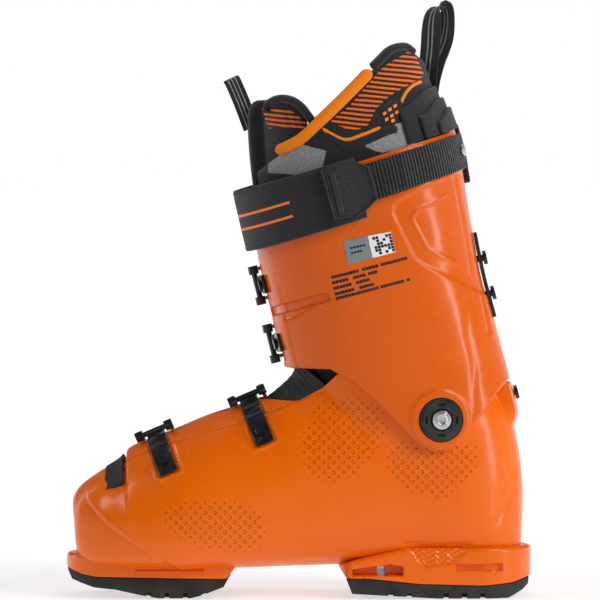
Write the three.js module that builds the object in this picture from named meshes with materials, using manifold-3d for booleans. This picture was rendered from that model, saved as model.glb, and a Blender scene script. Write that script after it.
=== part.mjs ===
// Alpine ski boot for the right foot: a four-buckle overlap boot with its liner, soles and power strap.
// Millimetres, +Z up. The toe points to -X, the medial side (towards the other foot) to -Y, and the
// buckle levers are on the lateral side, +Y. The boot stands on z = 0.
import * as THREE from "three";
import { mergeVertices } from "three/addons/utils/BufferGeometryUtils.js";
import Module from "manifold-3d";

const wasm = await Module();
wasm.setup();

// ---- Driving dimensions ----------------------------------------------------------------------
const SOLE_LENGTH = 305; // toe ledge to heel ledge, a size 26.5 boot
const SOLE_HALF_WIDTH = 34.5; // half of the 69 mm that a binding's toe piece takes
const FRONT = -SOLE_LENGTH / 2;
const BACK = SOLE_LENGTH / 2;
const SIDE_SHIFT = 0.9; // puts the middle of the whole boot, levers included, on y = 0
const GAP = 0.35; // running gap between touching pieces
const SHELL_WALL = 5;
const CUFF_INSIDE = 1.7; // the cuff's inner face above the lower shell's outer face
const CUFF_OUTSIDE = 5.5;
const FLAP_RISE = 3; // the lower shell's overlap flap above the surface around it
const PIVOT = new THREE.Vector3(91.6, 0, 117.6); // the ankle hinge, whose axis runs across the boot
const FLEX_CLEARANCE = 5.5; // room behind the lower shell's spine for the cuff to flex forward

// The boot's form, as ribs from the toe to the top of the liner. Each rib is an oval in a plane square
// to the boot's middle plane. It runs from a near point on the instep and shin line to a far point on
// the sole and heel line, and its power is 2 for an ellipse and more for a squarer half.
// near x, near z, far x, far z, medial half width, lateral half width, belly, near power, far power
const RIBS = [
  [-148.7, 59, -148.7, 57, 2, 2, 0.5, 2.0, 2.0], // 0 toe tip
  [-148.2, 64, -147.6, 47, 14, 14, 0.5, 2.1, 2.2],
  [-145.0, 69.8, -145.6, 28, 24, 24, 0.52, 2.2, 2.6],
  [-139.0, 75.3, -139, 19, 32, 32.5, 0.55, 2.3, 3.0],
  [-128, 82.6, -128, 18, 40.5, 41.5, 0.6, 2.3, 3.4], // 4 toe box
  [-116, 88.2, -116, 18, 46.5, 48, 0.64, 2.2, 3.4],
  [-108, 95, -106, 18, 50, 52, 0.67, 2.15, 3.4],
  [-92, 101.5, -91, 18, 54, 56, 0.68, 2.1, 3.4],
  [-75, 108.5, -73, 18, 56, 59, 0.67, 2.05, 3.4], // 8 ball of the foot
  [-58, 115.5, -53, 18, 55, 59, 0.65, 2.0, 3.3],
  [-40, 121.5, -30, 18.6, 51.5, 56, 0.62, 2.0, 3.2],
  [-25, 128, 5, 19.6, 48.5, 52, 0.58, 2.0, 3.0],
  [-13, 137, 45, 20.5, 46.5, 49, 0.54, 2.1, 2.8], // 12 instep
  [-5, 145, 92, 21, 45, 47, 0.5, 2.2, 2.6],
  [-3, 152, 139, 20.5, 43.5, 45, 0.48, 2.2, 2.5], // 14 heel corner
  [-3.5, 158, 147.2, 54, 44.5, 46, 0.47, 2.2, 2.3],
  [-5.5, 164, 145.2, 92, 45, 46.5, 0.47, 2.2, 2.3], // 16 ankle
  [-8, 171, 138.5, 122, 46, 47.5, 0.48, 2.2, 2.3],
  [-10, 179, 131, 150, 47, 48.5, 0.49, 2.2, 2.3],
  [-12, 188, 123.5, 178, 48.5, 50, 0.5, 2.2, 2.3],
  [-14.5, 199, 115.5, 207, 50, 51.5, 0.5, 2.2, 2.3], // 20 shin
  [-18, 213, 108.7, 240, 52, 53, 0.5, 2.2, 2.3],
  [-22, 230, 104, 272, 54, 55, 0.5, 2.2, 2.3],
  [-26, 247, 100.5, 290, 55.5, 56, 0.5, 2.2, 2.3],
  [-30, 265, 96.5, 305, 55.5, 56, 0.5, 2.2, 2.3], // 24 top of the cuff
  [-32.5, 285, 90, 324, 54, 54.5, 0.5, 2.2, 2.3],
  [-34, 308, 83, 345, 50, 50.5, 0.5, 2.2, 2.3],
  [-34, 330, 77, 368, 44, 44.5, 0.5, 2.2, 2.3], // 27 top of the liner
];
const LAST_RIB = RIBS.length - 1;

// Edges as they look from the side: x, z pairs.
const CUFF_HEM = [
  [-30, 149.5], [20, 149.8], [26, 146.5], [37.5, 139.8], [50, 129.7], [66.5, 113], [74, 105.4],
  [81, 99.5], [88, 97], [97.5, 97.9], [104.5, 102.5], [113.5, 113], [122.5, 123.5], [130, 134.8],
  [138, 141.6], [150, 144],
];
const THROAT = [
  [-60, 117], [-45, 123.5], [-33, 124.8], [-20, 127], [-3, 128.4], [4, 129.8], [14, 135.6], [24, 145.4],
  [36, 153], [60, 158], [100, 158], [150, 156],
];
const COLLAR = [
  [-40, 270], [-14.3, 289], [20, 319], [53, 348.5], [62, 358], [67, 361.5], [74.5, 357.5], [90, 345],
];
const TONGUE_TOP = [[-60, 320], [-27, 324], [-16, 326.5], [-5, 324.5], [7, 313], [30, 290]];

// ---- The form as a surface -------------------------------------------------------------------
const ribCurve = (a, b, c) =>
  new THREE.CatmullRomCurve3(
    RIBS.map((r) => new THREE.Vector3(r[a], r[b], r[c] ?? 0)), false, "catmullrom", 0.5,
  );
const nearLine = ribCurve(0, 1);
const farLine = ribCurve(2, 3);
const widthLine = ribCurve(4, 5, 6);
const powerLine = ribCurve(7, 8);
const clamp = THREE.MathUtils.clamp;
const lerp = THREE.MathUtils.lerp;
const smooth = (x, from, to) => THREE.MathUtils.smoothstep(x, Math.min(from, to), Math.max(from, to));
const spread = (n, make) => Array.from({ length: n + 1 }, (_, i) => make(i / n));

// Half of a rib as points an equal way apart, from the near point to the far one. side is -1 or 1.
function halfRib(u, side, count) {
  const t = clamp(u / LAST_RIB, 0, 1);
  const near = nearLine.getPoint(t);
  const far = farLine.getPoint(t);
  const width = widthLine.getPoint(t);
  const power = powerLine.getPoint(t);
  const half = side < 0 ? width.x : width.y;
  const belly = width.z;
  const raw = spread(64, (k) => {
    const c = Math.cos(k * Math.PI);
    const s = Math.abs(Math.sin(k * Math.PI));
    const n = c > 0 ? power.x : power.y;
    const reach = Math.pow(Math.abs(c), 2 / n);
    const along = c > 0 ? belly * (1 - reach) : belly + (1 - belly) * reach;
    return new THREE.Vector3(
      lerp(near.x, far.x, along), side * half * Math.pow(s, 2 / n), lerp(near.y, far.y, along),
    );
  });
  const lengths = [0];
  for (let i = 1; i < raw.length; i++) lengths.push(lengths[i - 1] + raw[i].distanceTo(raw[i - 1]));
  return spread(count, (share) => {
    const want = share * lengths.at(-1);
    const i = clamp(lengths.findIndex((l) => l >= want), 1, raw.length - 1);
    return raw[i - 1].clone().lerp(raw[i], (want - lengths[i - 1]) / (lengths[i] - lengths[i - 1] || 1));
  });
}

const RIB_STEPS = 6;
const HALF_STEPS = 40;
const ROWS = LAST_RIB * RIB_STEPS;
const points = spread(ROWS, (t) => {
  const medial = halfRib(t * LAST_RIB, -1, HALF_STEPS);
  const lateral = halfRib(t * LAST_RIB, 1, HALF_STEPS);
  return [...medial.reverse(), ...lateral.slice(1)];
});
const pointAt = (i, j) => {
  const wrap = (j + 2 * HALF_STEPS) % (2 * HALF_STEPS);
  return points[clamp(i, 0, ROWS)][j === 2 * HALF_STEPS ? j : wrap];
};
const normals = points.map((row, i) =>
  row.map((_, j) => {
    const along = pointAt(i + 1, j).clone().sub(pointAt(i - 1, j));
    const around = pointAt(i, j === 2 * HALF_STEPS ? 1 : j + 1).clone()
      .sub(pointAt(i, j === 0 ? 2 * HALF_STEPS - 1 : j - 1));
    return along.cross(around).normalize();
  }),
);

// A point d outside the form. u counts ribs, and v runs from -1 at the sole or heel line, through the
// medial side and 0 at the instep or shin line, to 1 at the sole or heel line again.
function skin(u, v, d = 0) {
  while (v > 1) v -= 2;
  while (v < -1) v += 2;
  const a = clamp(u * RIB_STEPS, 0, ROWS - 1e-6);
  const b = clamp((v + 1) * HALF_STEPS, 0, 2 * HALF_STEPS - 1e-6);
  const i = Math.floor(a);
  const j = Math.floor(b);
  const mix = (grid) => {
    const low = grid[i][j].clone().lerp(grid[i][j + 1], b - j);
    const high = grid[i + 1][j].clone().lerp(grid[i + 1][j + 1], b - j);
    return low.lerp(high, a - i);
  };
  return mix(points).addScaledVector(mix(normals).normalize(), d);
}

function heightAt(line, x) {
  if (x <= line[0][0]) return line[0][1];
  const i = line.findIndex((p) => p[0] > x);
  if (i < 0) return line.at(-1)[1];
  return lerp(line[i - 1][1], line[i][1], (x - line[i - 1][0]) / (line[i][0] - line[i - 1][0]));
}

// Where the surface first rises over an edge, as a value of u.
function edgeAt(line, v, d, from, to) {
  const over = (u) => {
    const p = skin(u, v, d);
    return p.z - heightAt(line, p.x);
  };
  const step = 0.1;
  for (let u = from; u < to; u += step) {
    if (over(u) < 0 && over(u + step) >= 0) return u + (step * -over(u)) / (over(u + step) - over(u));
  }
  return over(from) >= 0 ? from : to;
}

// ---- Solids ----------------------------------------------------------------------------------
function asSolid(geometry) {
  const bare = geometry.clone();
  for (const name of ["normal", "uv"]) bare.deleteAttribute(name);
  const merged = mergeVertices(bare, 1e-3);
  const made = new wasm.Manifold(
    new wasm.Mesh({
      numProp: 3,
      vertProperties: new Float32Array(merged.attributes.position.array),
      triVerts: new Uint32Array(merged.index.array),
    }),
  );
  return made;
}

function asGeometry(solid) {
  const mesh = solid.getMesh();
  const place = new Float32Array(mesh.numVert * 3);
  for (let i = 0; i < mesh.numVert; i++) {
    for (let k = 0; k < 3; k++) place[3 * i + k] = mesh.vertProperties[mesh.numProp * i + k];
  }
  const made = new THREE.BufferGeometry().setAttribute("position", new THREE.BufferAttribute(place, 3));
  made.setIndex(new THREE.BufferAttribute(new Uint32Array(mesh.triVerts), 1));
  made.computeVertexNormals();
  return made;
}

const join = (...solids) => solids.reduce((a, b) => a.add(b));
const cut = (solid, ...tools) => tools.reduce((a, b) => a.subtract(b), solid);

// A wall between two faces of the same grid. place(s, t, face) gives the point at share s along and t
// around, on face 0 (outside) or 1 (inside). wrap closes it around, and pole closes its start to a point.
function wall(rows, columns, place, { wrap = false, pole = false } = {}) {
  const places = [];
  const index = [];
  const width = wrap ? columns : columns + 1;
  for (const face of [0, 1]) {
    for (let i = 0; i <= rows; i++) {
      for (let j = 0; j < width; j++) places.push(place(i / rows, j / columns, face));
    }
  }
  const at = (face, i, j) => face * (rows + 1) * width + i * width + (wrap ? j % columns : j);
  const quad = (a, b, c, d) => index.push(a, b, c, a, c, d);
  for (let i = 0; i < rows; i++) {
    for (let j = 0; j < columns; j++) {
      quad(at(0, i, j), at(0, i + 1, j), at(0, i + 1, j + 1), at(0, i, j + 1));
      quad(at(1, i, j), at(1, i, j + 1), at(1, i + 1, j + 1), at(1, i + 1, j));
    }
  }
  for (let j = 0; j < columns; j++) {
    quad(at(0, rows, j), at(1, rows, j), at(1, rows, j + 1), at(0, rows, j + 1));
    if (!pole) quad(at(0, 0, j), at(0, 0, j + 1), at(1, 0, j + 1), at(1, 0, j));
  }
  if (!wrap) {
    for (let i = 0; i < rows; i++) {
      quad(at(0, i, 0), at(1, i, 0), at(1, i + 1, 0), at(0, i + 1, 0));
      quad(at(0, i, columns), at(0, i + 1, columns), at(1, i + 1, columns), at(1, i, columns));
    }
  }
  if (pole) {
    for (const face of [0, 1]) {
      const ring = Array.from({ length: columns }, (_, j) => at(face, 0, j));
      const middle = ring.reduce((sum, k) => sum.add(places[k]), new THREE.Vector3()).divideScalar(columns);
      places.push(middle);
      ring.forEach((k, j) => {
        const next = ring[(j + 1) % columns];
        index.push(...(face === 0 ? [places.length - 1, k, next] : [places.length - 1, next, k]));
      });
    }
  }
  const made = new THREE.BufferGeometry().setFromPoints(places);
  made.setIndex(index);
  return asSolid(made);
}

// A solid inside one face of such a grid: closed to a point at its start and flat across its end.
function plug(rows, columns, place) {
  const places = [];
  for (let i = 0; i <= rows; i++) {
    for (let j = 0; j < columns; j++) places.push(place(i / rows, j / columns, 0));
  }
  const index = [];
  const at = (i, j) => i * columns + (j % columns);
  for (let i = 0; i < rows; i++) {
    for (let j = 0; j < columns; j++) {
      index.push(at(i, j), at(i + 1, j), at(i + 1, j + 1), at(i, j), at(i + 1, j + 1), at(i, j + 1));
    }
  }
  for (const i of [0, rows]) {
    const middle = new THREE.Vector3();
    for (let j = 0; j < columns; j++) middle.add(places[at(i, j)]);
    places.push(middle.divideScalar(columns));
    for (let j = 0; j < columns; j++) {
      const edge = i === 0 ? [at(i, j), at(i, j + 1)] : [at(i, j + 1), at(i, j)];
      index.push(places.length - 1, ...edge);
    }
  }
  const made = new THREE.BufferGeometry().setFromPoints(places);
  made.setIndex(index);
  return asSolid(made);
}

const rounded = (x, y, w, h, r) => {
  const s = new THREE.Shape();
  s.moveTo(x - w / 2 + r, y - h / 2);
  s.lineTo(x + w / 2 - r, y - h / 2);
  s.absarc(x + w / 2 - r, y - h / 2 + r, r, -Math.PI / 2, 0);
  s.absarc(x + w / 2 - r, y + h / 2 - r, r, 0, Math.PI / 2);
  s.absarc(x - w / 2 + r, y + h / 2 - r, r, Math.PI / 2, Math.PI);
  s.absarc(x - w / 2 + r, y - h / 2 + r, r, Math.PI, 1.5 * Math.PI);
  return s;
};
const outline = (pairs) => new THREE.Shape(pairs.map((p) => new THREE.Vector2(...p)));

// A shape in a frame's own plane, pulled along its third axis from one depth to another.
function prism(shape, from, to, frame = new THREE.Matrix4(), segments = 4) {
  const options = { depth: to - from, bevelEnabled: false, curveSegments: segments };
  const made = new THREE.ExtrudeGeometry(shape, options);
  made.translate(0, 0, from);
  return asSolid(made.applyMatrix4(frame));
}
const disc = (radius, from, to, frame, sides = 16, x = 0, y = 0) => {
  const ring = Array.from({ length: sides }, (_, k) => {
    const turn = ((k + 0.5) / sides) * 2 * Math.PI;
    return [x + radius * Math.cos(turn), y + radius * Math.sin(turn)];
  });
  return prism(outline(ring), from, to, frame);
};
const FROM_SIDE = new THREE.Matrix4().makeBasis(
  new THREE.Vector3(1, 0, 0), new THREE.Vector3(0, 0, 1), new THREE.Vector3(0, -1, 0),
); // a side view, x and z, pulled along -Y
const FROM_TOP = new THREE.Matrix4(); // a plan, x and y, pulled along Z

// A frame on the form: its third axis is the way out.
function frameAt(u, v, d, up = new THREE.Vector3(0, 0, 1)) {
  const origin = skin(u, v, d);
  const out = skin(u, v, d + 1).sub(origin).normalize();
  const side = up.clone().cross(out).normalize();
  const made = new THREE.Matrix4().makeBasis(side, out.clone().cross(side), out);
  return made.setPosition(origin);
}

// ---- Materials -------------------------------------------------------------------------------
const finish = (color, roughness, metalness = 0) =>
  new THREE.MeshStandardMaterial({ color, roughness, metalness });
const ORANGE_SHELL = finish(0xe85a05, 0.28);
const BLACK_RUBBER = finish(0x1d1d1f, 0.75);
const BLACK_PLASTIC = finish(0x242427, 0.5);
const BLACK_METAL = finish(0x1a1b1e, 0.35, 0.7);
const STEEL = finish(0xc9cbce, 0.3, 1);
const BLACK_FABRIC = finish(0x1b1b1d, 0.9);
const LINER_CLOTH = finish(0x26262a, 0.85);
const ORANGE_PLASTIC = finish(0xf07a1a, 0.45);

const boot = new THREE.Group();
boot.position.y = SIDE_SHIFT;
// The largest piece of a solid is the part, and any trimmings that a cut leaves fall away.
function part(name, solid, material) {
  const pieces = solid.decompose().sort((a, b) => b.volume() - a.volume());
  const mesh = new THREE.Mesh(asGeometry(pieces[0]), material);
  mesh.name = name;
  boot.add(mesh);
}

// ---- Lower shell -----------------------------------------------------------------------------
const FLAP_EDGE = 0.1; // the free edge of the medial flap, on the lateral side of the instep
// How far the outer face stands over the form: up onto the flap, and in behind the cuff's spine.
function flapRise(u, v) {
  if (v >= FLAP_EDGE) return 0;
  return FLAP_RISE * smooth(u, 5.35, 5.75) * (1 - smooth(u, 11.4, 12.6)) * smooth(v, -0.55, -0.12);
}
const flexRoom = (u, v) => FLEX_CLEARANCE * smooth(skin(u, v).z, 118, 146) * smooth(Math.abs(v), 0.5, 0.82);
const shellOutside = (u, v) => flapRise(u, v) - flexRoom(u, v);
const AROUND = [-1, -0.86, -0.74, -0.64, -0.54, -0.44, -0.34, -0.24, -0.14, -0.05, 0.03, FLAP_EDGE - 0.004,
  FLAP_EDGE + 0.012, 0.2, 0.3, 0.4, 0.5, 0.6, 0.7, 0.8, 0.9];
const SHELL_ROWS = 17;
const throatAt = AROUND.map((v) => edgeAt(THROAT, v, 0, 9.4, 22));
const shellPlace = (outside, inside, past = 0) => (s, t, face) => {
  const j = Math.round(t * AROUND.length) % AROUND.length;
  const u = Math.pow(s, 1.12) * (throatAt[j] + past);
  return skin(u, AROUND[j], (face ? inside : outside)(u, AROUND[j]));
};
const shellLayer = (outside, inside, past) =>
  wall(SHELL_ROWS, AROUND.length, shellPlace(outside, inside, past), { wrap: true, pole: true });
const hollowShell = shellLayer(shellOutside, (u, v) => shellOutside(u, v) - SHELL_WALL);
const shellKeepOut = shellLayer((u, v) => shellOutside(u, v) + GAP, () => -16);
const shellGrown = shellLayer(
  (u, v) => shellOutside(u, v) + GAP, (u, v) => shellOutside(u, v) - SHELL_WALL - 4 * GAP, 0.25,
);
const shellCavity = plug(SHELL_ROWS, AROUND.length, shellPlace((u, v) => shellOutside(u, v) - SHELL_WALL));

// The toe and heel blocks that the binding holds, as a side view cut to a plan.
const block = (side, plan, top) =>
  prism(outline(side), -60, 60, FROM_SIDE).intersect(prism(plan, -5, top, FROM_TOP, 8));
function soleplan(half, front, back, frontRound, backRound) {
  const s = new THREE.Shape();
  const turn = Math.PI / 2;
  s.moveTo(back - backRound, -half);
  s.absellipse(back - backRound, 0, backRound, half, -turn, turn);
  s.absellipse(front + frontRound, 0, frontRound, half, turn, 3 * turn);
  return s;
}
const TOE_BLOCK_TOP = 28;
const HEEL_BLOCK_TOP = 33;
const TOE_JOINT = [[FRONT, 18.6], [-143, 15.2], [-134, 13.8], [-47.5, 12.4], [-44.5, 16]];
const HEEL_JOINT = [[31, 12.8], [46, 12.8], [78, 9.3], [120, 8.2], [140, 9.8], [151, 12.8]];
const toeBlock = block(
  [...TOE_JOINT, [-40, 24], [-60, TOE_BLOCK_TOP], [FRONT, TOE_BLOCK_TOP]],
  soleplan(SOLE_HALF_WIDTH, FRONT, -30, 36, 12), TOE_BLOCK_TOP,
);
const heelBlock = block(
  [...HEEL_JOINT, [BACK, HEEL_BLOCK_TOP - 2], [BACK - 1, HEEL_BLOCK_TOP], [70, HEEL_BLOCK_TOP], [58, 30],
    [26, 21.5]],
  soleplan(SOLE_HALF_WIDTH + 1.5, 20, BACK, 10, 34), HEEL_BLOCK_TOP,
);
// A side view cut into one flank, from one distance off the middle plane to another.
const flank = (shape, sign, from, to) =>
  sign < 0 ? prism(shape, from, to, FROM_SIDE) : prism(shape, -to, -from, FROM_SIDE);
const heelGroove = (sign) => flank(rounded(121, 20.3, 38, 4.4, 1), sign, 33, 45);
const ARCH_RECESS = [[34, 15], [70, 15], [70, 21], [60, 22.5], [34, 19]];
const archRecess = (sign) => flank(outline(ARCH_RECESS), sign, 12, 45);

// A boss on the heel that brings the lower shell out flush with the cuff above it.
const heelBoss = wall(5, 4, (s, t, face) => {
  const u = lerp(16.6, 17.5, s);
  return skin(u, lerp(0.92, 1.08, t), face ? -flexRoom(u, 1) - 2 : lerp(-1, CUFF_OUTSIDE, smooth(s, 0, 0.5)));
});

// The ankle pivots, one on each side, where the surface crosses the hinge's axis.
function pivotFrame(sign) {
  let best = { miss: Infinity };
  for (let u = 15; u < 18.5; u += 0.02) {
    for (let v = 0.4; v < 0.75; v += 0.004) {
      const p = skin(u, sign * v);
      const miss = Math.hypot(p.x - PIVOT.x, p.z - PIVOT.z);
      if (miss < best.miss) best = { miss, u, v: sign * v };
    }
  }
  return frameAt(best.u, best.v, 0);
}
const PIVOTS = [["medial", pivotFrame(-1)], ["lateral", pivotFrame(1)]];
const CAM_RADIUS = 14;
const PIVOT_BOLT_RADIUS = 4.2;
const PIVOT_BOLT_CLEARANCE = 1;

// Screws that hold the soles on: x, y, and the height of the sole's underside there.
const SOLE_SCREWS = {
  toe_sole: [["medial", -112, -20, 4], ["lateral", -112, 20, 4]],
  heel_sole: [["medial", 72, -20, 1], ["lateral", 72, 20, 1]],
};
const standing = (radius, from, to, x, y) => disc(radius, from, to, FROM_TOP, 8, x, y);
const screwHole = ([, x, y, z]) =>
  join(standing(4.3, -5, z + 3.3, x, y), standing(2 + GAP, z, 20.5, x, y));

// ---- Buckles ---------------------------------------------------------------------------------
// Where the plane through a point, square to the boot's own line there, meets the form.
function planeCut(plane, v, d, near) {
  const off = (u) => plane.distanceToPoint(skin(u, v, d));
  const step = 0.1;
  for (let reach = 0; reach < 8; reach += step) {
    for (const u of [near + reach, near - reach - step]) {
      if (off(u) * off(u + step) <= 0) {
        const share = off(u) / (off(u) - off(u + step) || 1);
        return skin(u + step * share, v, d);
      }
    }
  }
  throw new Error(`no cut at v ${v}`);
}

// Each buckle lies in one plane. near is its rib at the instep, tilt the angle of the boot's own line
// there, hook and hinge are the places around the boot of the bail's hook and of the lever's pin, and
// floor and deck are how far the shell stands over the form under the lever and under the ladder.
const SHELL_BUCKLE = { floor: 0, deck: FLAP_RISE, teeth: 4 };
const CUFF_DECK = CUFF_OUTSIDE + 1.3;
const CUFF_BUCKLE = { floor: CUFF_OUTSIDE, deck: CUFF_DECK, teeth: 2 };
const BUCKLES = [
  {
    name: "toe", near: 7, tilt: 23, ...SHELL_BUCKLE,
    ladder: [-0.33, 0.02], rivet: -0.27, hook: -0.05, hinge: 0.27,
  },
  {
    name: "instep", near: 10.55, tilt: 23, ...SHELL_BUCKLE,
    ladder: [-0.3, 0.03], rivet: -0.25, hook: -0.04, hinge: 0.27,
  },
  {
    name: "lower_cuff", near: 16.5, tilt: 104, ...CUFF_BUCKLE,
    ladder: [-0.07, 0.1], rivet: -0.035, hook: 0.035, hinge: 0.3,
  },
  {
    name: "upper_cuff", near: 20.5, tilt: 104, ...CUFF_BUCKLE,
    ladder: [-0.06, 0.1], rivet: -0.028, hook: 0.035, hinge: 0.28,
  },
];
const LADDER_HALF = 6;
const BASE_HALF = 6.4;
const LEVER_HALF = 8.5;
const FLANGE = 1.6;
const ARM_IN = 8.8;
const ARM_OUT = 11.2;
const KNOB_END = 13;
const KNOB_LENGTH = 5.4;
const PIN_HEIGHT = 5.6; // the pins' axes over the shell
const PIN_RADIUS = 1.5;
const BAIL_PIN_REACH = 12; // from the lever's pin to the bail's pin
const LEVER_LENGTH = 44;

function buckle(b) {
  const turn = THREE.MathUtils.degToRad(b.tilt);
  const across = new THREE.Vector3(Math.cos(turn), 0, Math.sin(turn)); // along the pins
  const start = skin(b.near, 0);
  const plane = new THREE.Plane().setFromNormalAndCoplanarPoint(across, start);
  const cutAt = (v, d) => planeCut(plane, v, d, b.near + Math.abs(v) * 1.5);
  const pinAt = cutAt(b.hinge, b.floor + PIN_HEIGHT);
  const out = cutAt(b.hinge, b.floor + PIN_HEIGHT + 1).sub(pinAt).projectOnPlane(across).normalize();
  const along = out.clone().cross(across).normalize(); // towards the lever's free end
  const frame = new THREE.Matrix4().makeBasis(along, out, across).setPosition(pinAt);
  const inverse = frame.clone().invert();
  const flat = (p) => {
    const q = p.clone().applyMatrix4(inverse);
    return [q.x, q.y];
  };
  // The strip of the plane between two heights over the form, from one place around to another.
  const strip = (from, to, low, high, steps) => {
    const lowOf = typeof low === "function" ? low : () => low;
    const highOf = typeof high === "function" ? high : () => high;
    return outline([
      ...spread(steps, (t) => flat(cutAt(lerp(from, to, t), highOf(t)))),
      ...spread(steps, (t) => flat(cutAt(lerp(to, from, t), lowOf(1 - t)))),
    ]);
  };
  // The place around the boot that lies a distance past the lever's pin.
  const reachAt = (distance) => {
    let v = b.hinge;
    let last = cutAt(v, b.floor);
    for (let gone = 0; gone < distance; ) {
      v += 0.002;
      const next = cutAt(v, b.floor);
      gone += next.distanceTo(last);
      last = next;
    }
    return v;
  };
  return { ...b, frame, across, cutAt, flat, strip, reachAt, pinAt };
}

function buckleParts(b, keepOut) {
  const k = buckle(b);
  const rise = (d) => k.floor + d;
  // Ladder: a strip along the medial flap with teeth that the bail hooks behind.
  const [ladderFrom, ladderTo] = k.ladder;
  const bodySide = k.strip(ladderFrom, ladderTo, k.deck + GAP, k.deck + 2.2, 8);
  const body = prism(bodySide, -LADDER_HALF, LADDER_HALF, k.frame);
  const teeth = Array.from({ length: k.teeth }, (_, n) => {
    const at = k.hook + 0.022 - n * 0.052;
    const foot = k.flat(k.cutAt(at, k.deck + 1.6));
    const crown = k.flat(k.cutAt(at + 0.004, k.deck + 4.1));
    const heel = k.flat(k.cutAt(at + 0.03, k.deck + 1.6));
    return prism(outline([heel, crown, foot]), -LADDER_HALF + 0.6, LADDER_HALF - 0.6, k.frame);
  });
  const rivetSeat = k.cutAt(k.rivet, k.deck);
  const rivetOut = k.cutAt(k.rivet, k.deck + 1).sub(rivetSeat).projectOnPlane(k.across).normalize();
  const rivetFrame = new THREE.Matrix4()
    .makeBasis(k.across, rivetOut.clone().cross(k.across), rivetOut).setPosition(rivetSeat);
  const rivetHole = disc(2.3, -6, 12, rivetFrame, 12);
  const ladder = cut(join(body, ...teeth), rivetHole, keepOut);
  const rivet = cut(join(disc(1.95, -1, 3, rivetFrame, 12), disc(3.6, 2.6, 4, rivetFrame, 12)), keepOut);
  // Base: a plate on the lateral side with two ears for the lever's pin.
  const plateEnd = k.reachAt(20);
  const plateSide = k.strip(k.hinge - 0.05, plateEnd, rise(-1), rise(2.1), 5);
  const plate = prism(plateSide, -BASE_HALF, BASE_HALF, k.frame);
  const earFoot = -PIN_HEIGHT - 2;
  const earShape = outline([[-5, earFoot], [-3, 0], [-1.6, 2.6], [1.6, 2.6], [3, 0], [5, earFoot]]);
  const ears = [-BASE_HALF, BASE_HALF - 1.8].map((z) => prism(earShape, z, z + 1.8, k.frame));
  const pinHole = disc(PIN_RADIUS + 0.15, -20, 20, k.frame, 10);
  const base = cut(join(plate, ...ears), pinHole, keepOut);
  // Lever: a cover with two side flanges, hinged on the base.
  const tip = k.reachAt(LEVER_LENGTH);
  const coverLow = (t) => rise(8.3 - 2.6 * t * t);
  const coverHigh = (t) => rise(10.4 - 2.4 * t * t);
  const cover = prism(k.strip(k.reachAt(3), tip, coverLow, coverHigh, 5), -LEVER_HALF, LEVER_HALF, k.frame);
  const flangeEnd = k.reachAt(LEVER_LENGTH * 0.72);
  const flangeLow = (t) => rise(3.3 + 2.6 * t);
  const flangeHigh = (t) => rise(9 - 1.6 * t);
  const flangeSide = k.strip(k.reachAt(3), flangeEnd, flangeLow, flangeHigh, 3);
  const flange = (z) => join(
    prism(flangeSide, z, z + FLANGE, k.frame),
    disc(2.9, z, z + FLANGE, k.frame, 10),
    prism(outline([[-1.5, 0], [0, -2.2], [6, -2], [6, 3.6], [3, 3.6]]), z, z + FLANGE, k.frame),
  );
  const bailPinAt = k.flat(k.cutAt(k.reachAt(BAIL_PIN_REACH), rise(PIN_HEIGHT + 0.2)));
  const bailHole = disc(PIN_RADIUS + 0.15, -20, 20, k.frame, 10, ...bailPinAt);
  const lever = cut(join(cover, flange(-LEVER_HALF), flange(LEVER_HALF - FLANGE)), pinHole, bailHole);
  // Bail: two arms outside the lever, joined by the hook's bar with a knob at each end.
  const bailFrom = k.hook - 0.012;
  const armRise = (t) => lerp(k.deck, k.floor, smooth(t, 0.1, 0.7));
  const barAt = k.flat(k.cutAt(bailFrom, k.deck + 5.0));
  const armEnd = k.reachAt(BAIL_PIN_REACH);
  const armSide = k.strip(bailFrom, armEnd, (t) => armRise(t) + 4.1, (t) => armRise(t) + 7, 7);
  const armWide = ARM_OUT - ARM_IN;
  const arm = (z) => join(
    prism(armSide, z, z + armWide, k.frame),
    disc(2.9, z, z + armWide, k.frame, 10, ...bailPinAt),
  );
  const knob = (z) => disc(3.4, z, z + KNOB_LENGTH, k.frame, 10, ...barAt);
  const bar = disc(1.9, -ARM_OUT, ARM_OUT, k.frame, 8, ...barAt);
  const knobs = [knob(-KNOB_END), knob(KNOB_END - KNOB_LENGTH)];
  const bail = cut(join(arm(-ARM_OUT), arm(ARM_IN), bar, ...knobs), bailHole);
  const leverPin = disc(PIN_RADIUS, -LEVER_HALF + 0.1, LEVER_HALF - 0.1, k.frame, 10);
  const bailPin = disc(PIN_RADIUS, -ARM_OUT + 0.1, ARM_OUT - 0.1, k.frame, 10, ...bailPinAt);
  part(`${b.name}_ladder`, ladder, BLACK_METAL);
  part(`${b.name}_ladder_rivet`, rivet, STEEL);
  part(`${b.name}_buckle_base`, base, BLACK_METAL);
  part(`${b.name}_lever`, lever, BLACK_METAL);
  part(`${b.name}_bail`, bail, BLACK_METAL);
  part(`${b.name}_lever_pin`, leverPin, STEEL);
  part(`${b.name}_bail_pin`, bailPin, STEEL);
}

for (const b of BUCKLES.slice(0, 2)) buckleParts(b, shellKeepOut);

const pivotBores = PIVOTS.map(([, frame]) => disc(PIVOT_BOLT_RADIUS + 0.35, -12, 12, frame, 12));
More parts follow.
